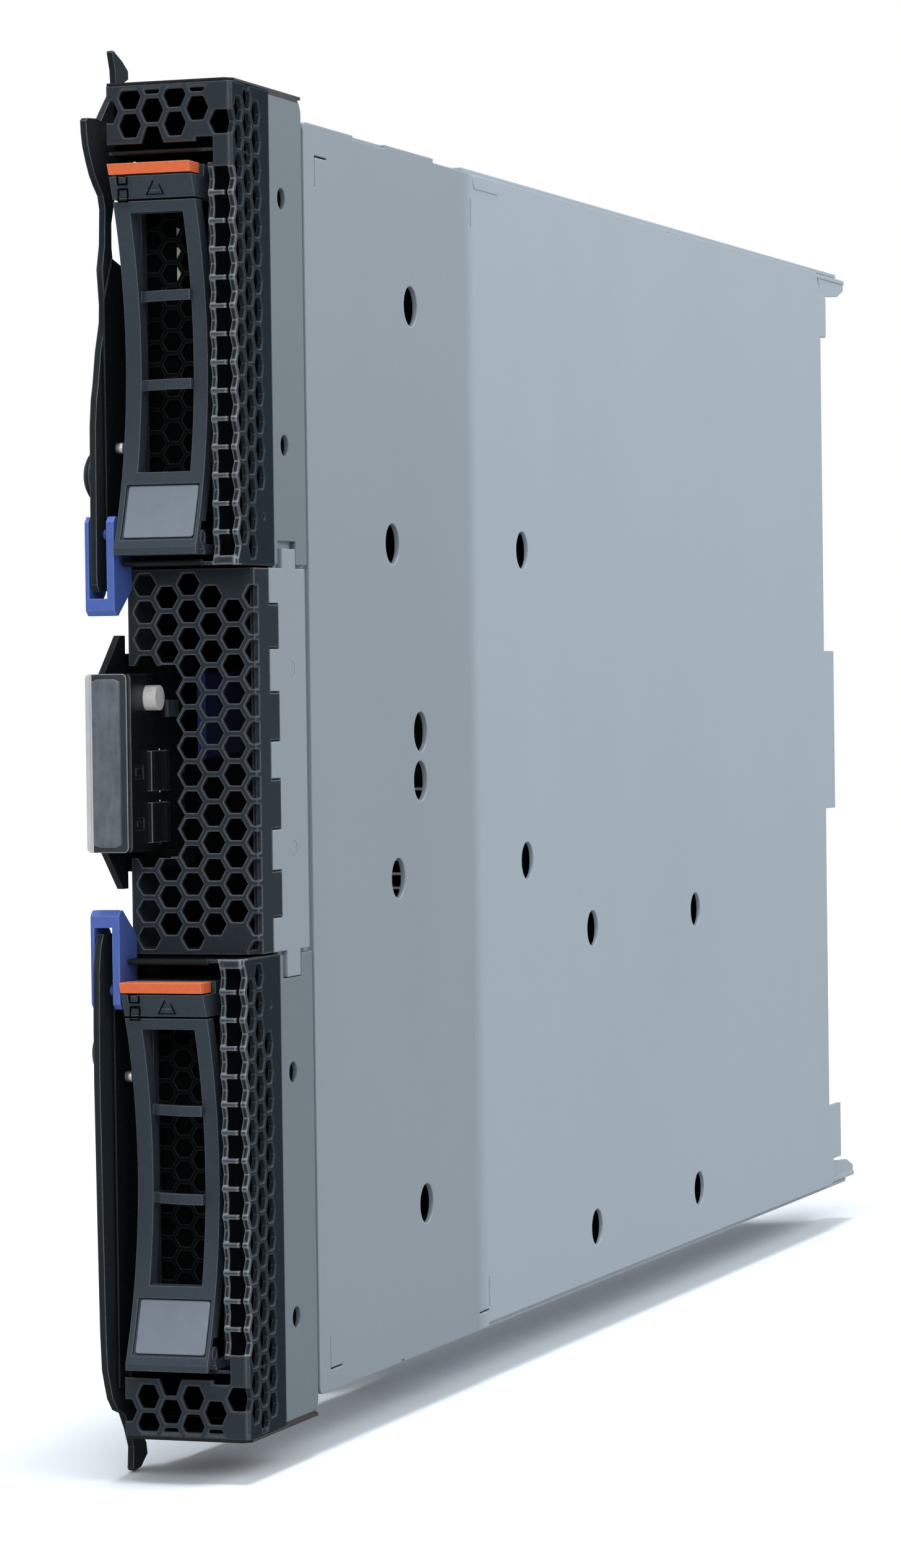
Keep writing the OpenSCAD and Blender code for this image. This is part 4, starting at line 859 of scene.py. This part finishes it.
pipe_haze = cloudy("light_pipe_haze", (0.045, 0.062, 0.080), (0.230, 0.275, 0.330))
lens_foot = box_mm("lens_bar")[0][2]
PIPE_X, PIPE_Y = 4.4, -3.2
loop_x, loop_y = rounded_loop(5.4, 1.1, 0.4, 32)
reach = np.array([0.9, 1.3, 1.5, 16.0, 30.6, 30.9, 31.3])[:, None]
swell = np.array([0.6, 0.95, 1.0, 1.0, 1.0, 0.95, 0.6])[:, None]
pipe = np.stack([PIPE_X + swell * loop_x, PIPE_Y + swell * loop_y,
                 lens_foot + reach + 0 * loop_x], -1)
skin("light_pipe", pipe, "chassis", pipe_haze)

# %% [markdown]
# ## Blue air guide behind the mesh
# Deep behind the middle mesh a dark blue moulding guides air to the heat sinks. Only slivers of
# it show through the cells, so its full shape is not worth modelling and a plain bar is enough:
# a rounded loop carried back along Y while it leans over.

# %% Air guide
BAR_X, BAR_START, BAR_END, BAR_Z = 12.0, 24.0, 60.0, 130.5
back = np.linspace(BAR_START, BAR_END, 9)[:, None]
guide_x, guide_z = rounded_loop(1.7, 16.0, 0.8, 32)
air_guide = np.stack([BAR_X - 0.10 * (back - BAR_START) + guide_x, back + 0 * guide_x,
                      BAR_Z + guide_z + 0.02 * (back - BAR_START)], -1)
dark_blue = moulded("air_guide_blue", (0.024, 0.036, 0.145), 0.45, 900.0, 0.00002, shine=0.05)
skin("air_guide", air_guide, "chassis", dark_blue)

# %% [markdown]
# ## The studio
# The floor and the world are plain white. More lamps could whiten them, but they would bleach
# the blade too. So rays from the camera see full white, while the light that falls on the blade
# is softer, and colours come out as they are written. Near the blade the floor is an ordinary
# matt surface, which keeps its shadow. Further off, and just past the cover side, it fades into
# the white of the world.

# %% Floor and world
def white_world():
    """Strength 1 for camera and clear rays, less in mirrored ones, and 0.45 as light."""
    world = bpy.data.worlds.new("studio_white")
    world.use_nodes = True
    g = Graph("studio_white", world.node_tree)
    direct = g.larger(g.ray("Is Camera Ray"), g.ray("Is Glossy Ray") * 0.5)
    direct = g.larger(direct, g.ray("Is Transmission Ray"))
    lit = g.node("ShaderNodeBackground", {},
                 {"Color": rgb(1, 1, 1), "Strength": direct * 0.55 + 0.45})
    out = g.tree.nodes.new("ShaderNodeOutputWorld")
    g.tree.links.new(lit.socket, out.inputs["Surface"])
    bpy.context.scene.world = world


FLOOR_RADIUS_M, FLOOR_CENTRE_Y_M, RINGS, SPOKES = 3.0, 0.2, 25, 96
FADE_NEAR_M, FADE_FAR_M = 0.50, 1.0
COVER_FADE_NEAR_M, COVER_FADE_FAR_M = 0.02, 0.09
FLOOR_LIT, FLOOR_SEEN = rgb(0.40, 0.40, 0.40), rgb(0.74, 0.80, 0.86)


def floor_disc(height):
    """Rings and spokes at one height: x = r cos a, y = r sin a, and a fan in the middle."""
    radii = np.linspace(0.0, FLOOR_RADIUS_M, RINGS)[:, None]
    turns = np.linspace(0.0, 2 * math.pi, SPOKES + 1)[None, :-1]
    x = (radii * np.cos(turns)).ravel()
    y = (radii * np.sin(turns)).ravel() + FLOOR_CENTRE_Y_M
    points = np.stack([x, y, np.full_like(x, height)], 1)
    i = np.arange(RINGS - 1)[:, None] * SPOKES
    j = np.arange(SPOKES)[None, :]
    k = (j + 1) % SPOKES
    quads = np.stack([i + j, i + SPOKES + j, i + SPOKES + k, i + k], -1).reshape(-1, 4)
    middle_fan = np.stack([0 * j[0], SPOKES + j[0], SPOKES + k[0]], -1)
    mesh = bpy.data.meshes.new("studio_floor")
    mesh.from_pydata(points.tolist(), [], quads[SPOKES:].tolist() + middle_fan.tolist())
    return mesh


def floor_finish():
    """Matt near the blade, glowing white far off and past the cover side."""
    g = Graph("floor_white")
    seen = g.ray("Is Camera Ray")
    spot = g.node("ShaderNodeVectorMath", {"operation": "LENGTH"}, {0: g.where()}, out="Value")
    far = g.larger(g.fade(spot, FADE_NEAR_M, FADE_FAR_M),
                   g.fade(g.along("X") * -1.0, COVER_FADE_NEAR_M, COVER_FADE_FAR_M))
    matt = g.node("ShaderNodeBsdfDiffuse", {}, {"Color": g.blend(seen, FLOOR_LIT, FLOOR_SEEN)})
    glow = g.node("ShaderNodeEmission", {}, {"Color": rgb(1, 1, 1), "Strength": 1.25})
    g.node_out(g.node("ShaderNodeMixShader", {}, {0: far * seen, 1: matt, 2: glow}))
    return g.material


def studio_floor(height):
    """The floor object, just under the blade."""
    mesh = floor_disc(height)
    floor = bpy.data.objects.new("studio_floor", mesh)
    bpy.context.scene.collection.objects.link(floor)
    mesh.materials.append(floor_finish())
    print("floor:", len(mesh.polygons), "faces at height", round(height, 4))


FLOOR_GAP_M = 0.0003
white_world()
studio_floor(start_box[0][2] - FLOOR_GAP_M)

# %% [markdown]
# ## Lamps
# A point or a sun gives hard shadows; an area lamp gives softer ones the larger it is. One
# large lamp stands off the panel's side, one in front lights the narrow face, and a smaller one
# straight above draws the top edges and the shadow under the front.

# %% Area lamps
def soft_lamp(name, place, aim, size, watts):
    """Square lamp at `place`, tilted and turned so that it faces `aim`."""
    data = bpy.data.lights.new(name, "AREA")
    data.shape = "SQUARE"
    data.size = size
    data.energy = watts
    lamp = bpy.data.objects.new(name, data)
    lamp.location = place
    way = np.array(aim) - np.array(place)
    flat = math.hypot(way[0], way[1])
    tilt, turn = math.atan2(flat, -way[2]), math.atan2(way[1], way[0])
    lamp.rotation_euler = (tilt, 0.0, turn - math.pi / 2)
    bpy.context.scene.collection.objects.link(lamp)
    print(name, "of", watts, "watts at", place)


middle = (0.015, 0.2, 0.12)
soft_lamp("side_lamp", (1.2, 1.05, 1.0), middle, 1.0, 18.5)
soft_lamp("front_lamp", (0.45, -1.3, 0.8), middle, 0.8, 10.0)
soft_lamp("top_lamp", (0.06, -0.02, 1.5), middle, 0.5, 24.0)

# %% [markdown]
# ## The camera
# A long lens from the front right, a little above mid-height, shows the narrow front and the
# whole base panel. A Track To constraint could aim the camera, but it leaves no roll, so its
# three axes are worked out from its turn, tilt and roll and put straight into its matrix.

# %% Camera
TURN, TILT, ROLL = math.radians(18.99), math.radians(-1.26), math.radians(-0.76)
LENS_MM, SENSOR_MM = 197.41772, 36.0
CAMERA_PLACE = np.array([352.43, -824.45, 137.56]) * MM
side = np.array([math.cos(TURN), math.sin(TURN), 0.0])
ahead0 = np.array([-math.sin(TURN), math.cos(TURN), 0.0])
zed = np.array([0.0, 0.0, 1.0])
ahead = ahead0 * math.cos(TILT) + zed * math.sin(TILT)
rise = zed * math.cos(TILT) - ahead0 * math.sin(TILT)
right = side * math.cos(ROLL) + rise * math.sin(ROLL)
top = rise * math.cos(ROLL) - side * math.sin(ROLL)

camera_data = bpy.data.cameras.new("camera")
camera_data.sensor_fit = "HORIZONTAL"
camera_data.sensor_width = SENSOR_MM
camera_data.lens = LENS_MM
camera_data.clip_start = 0.01
camera = bpy.data.objects.new("camera", camera_data)
grid = np.eye(4)
grid[:3, 0], grid[:3, 1], grid[:3, 2], grid[:3, 3] = right, top, -ahead, CAMERA_PLACE
camera.matrix_world = Matrix([list(row) for row in grid])
bpy.context.scene.collection.objects.link(camera)
bpy.context.scene.camera = camera
bpy.context.scene.view_settings.view_transform = "Standard"
print("camera with a", round(camera_data.lens), "mm lens at", CAMERA_PLACE.tolist())
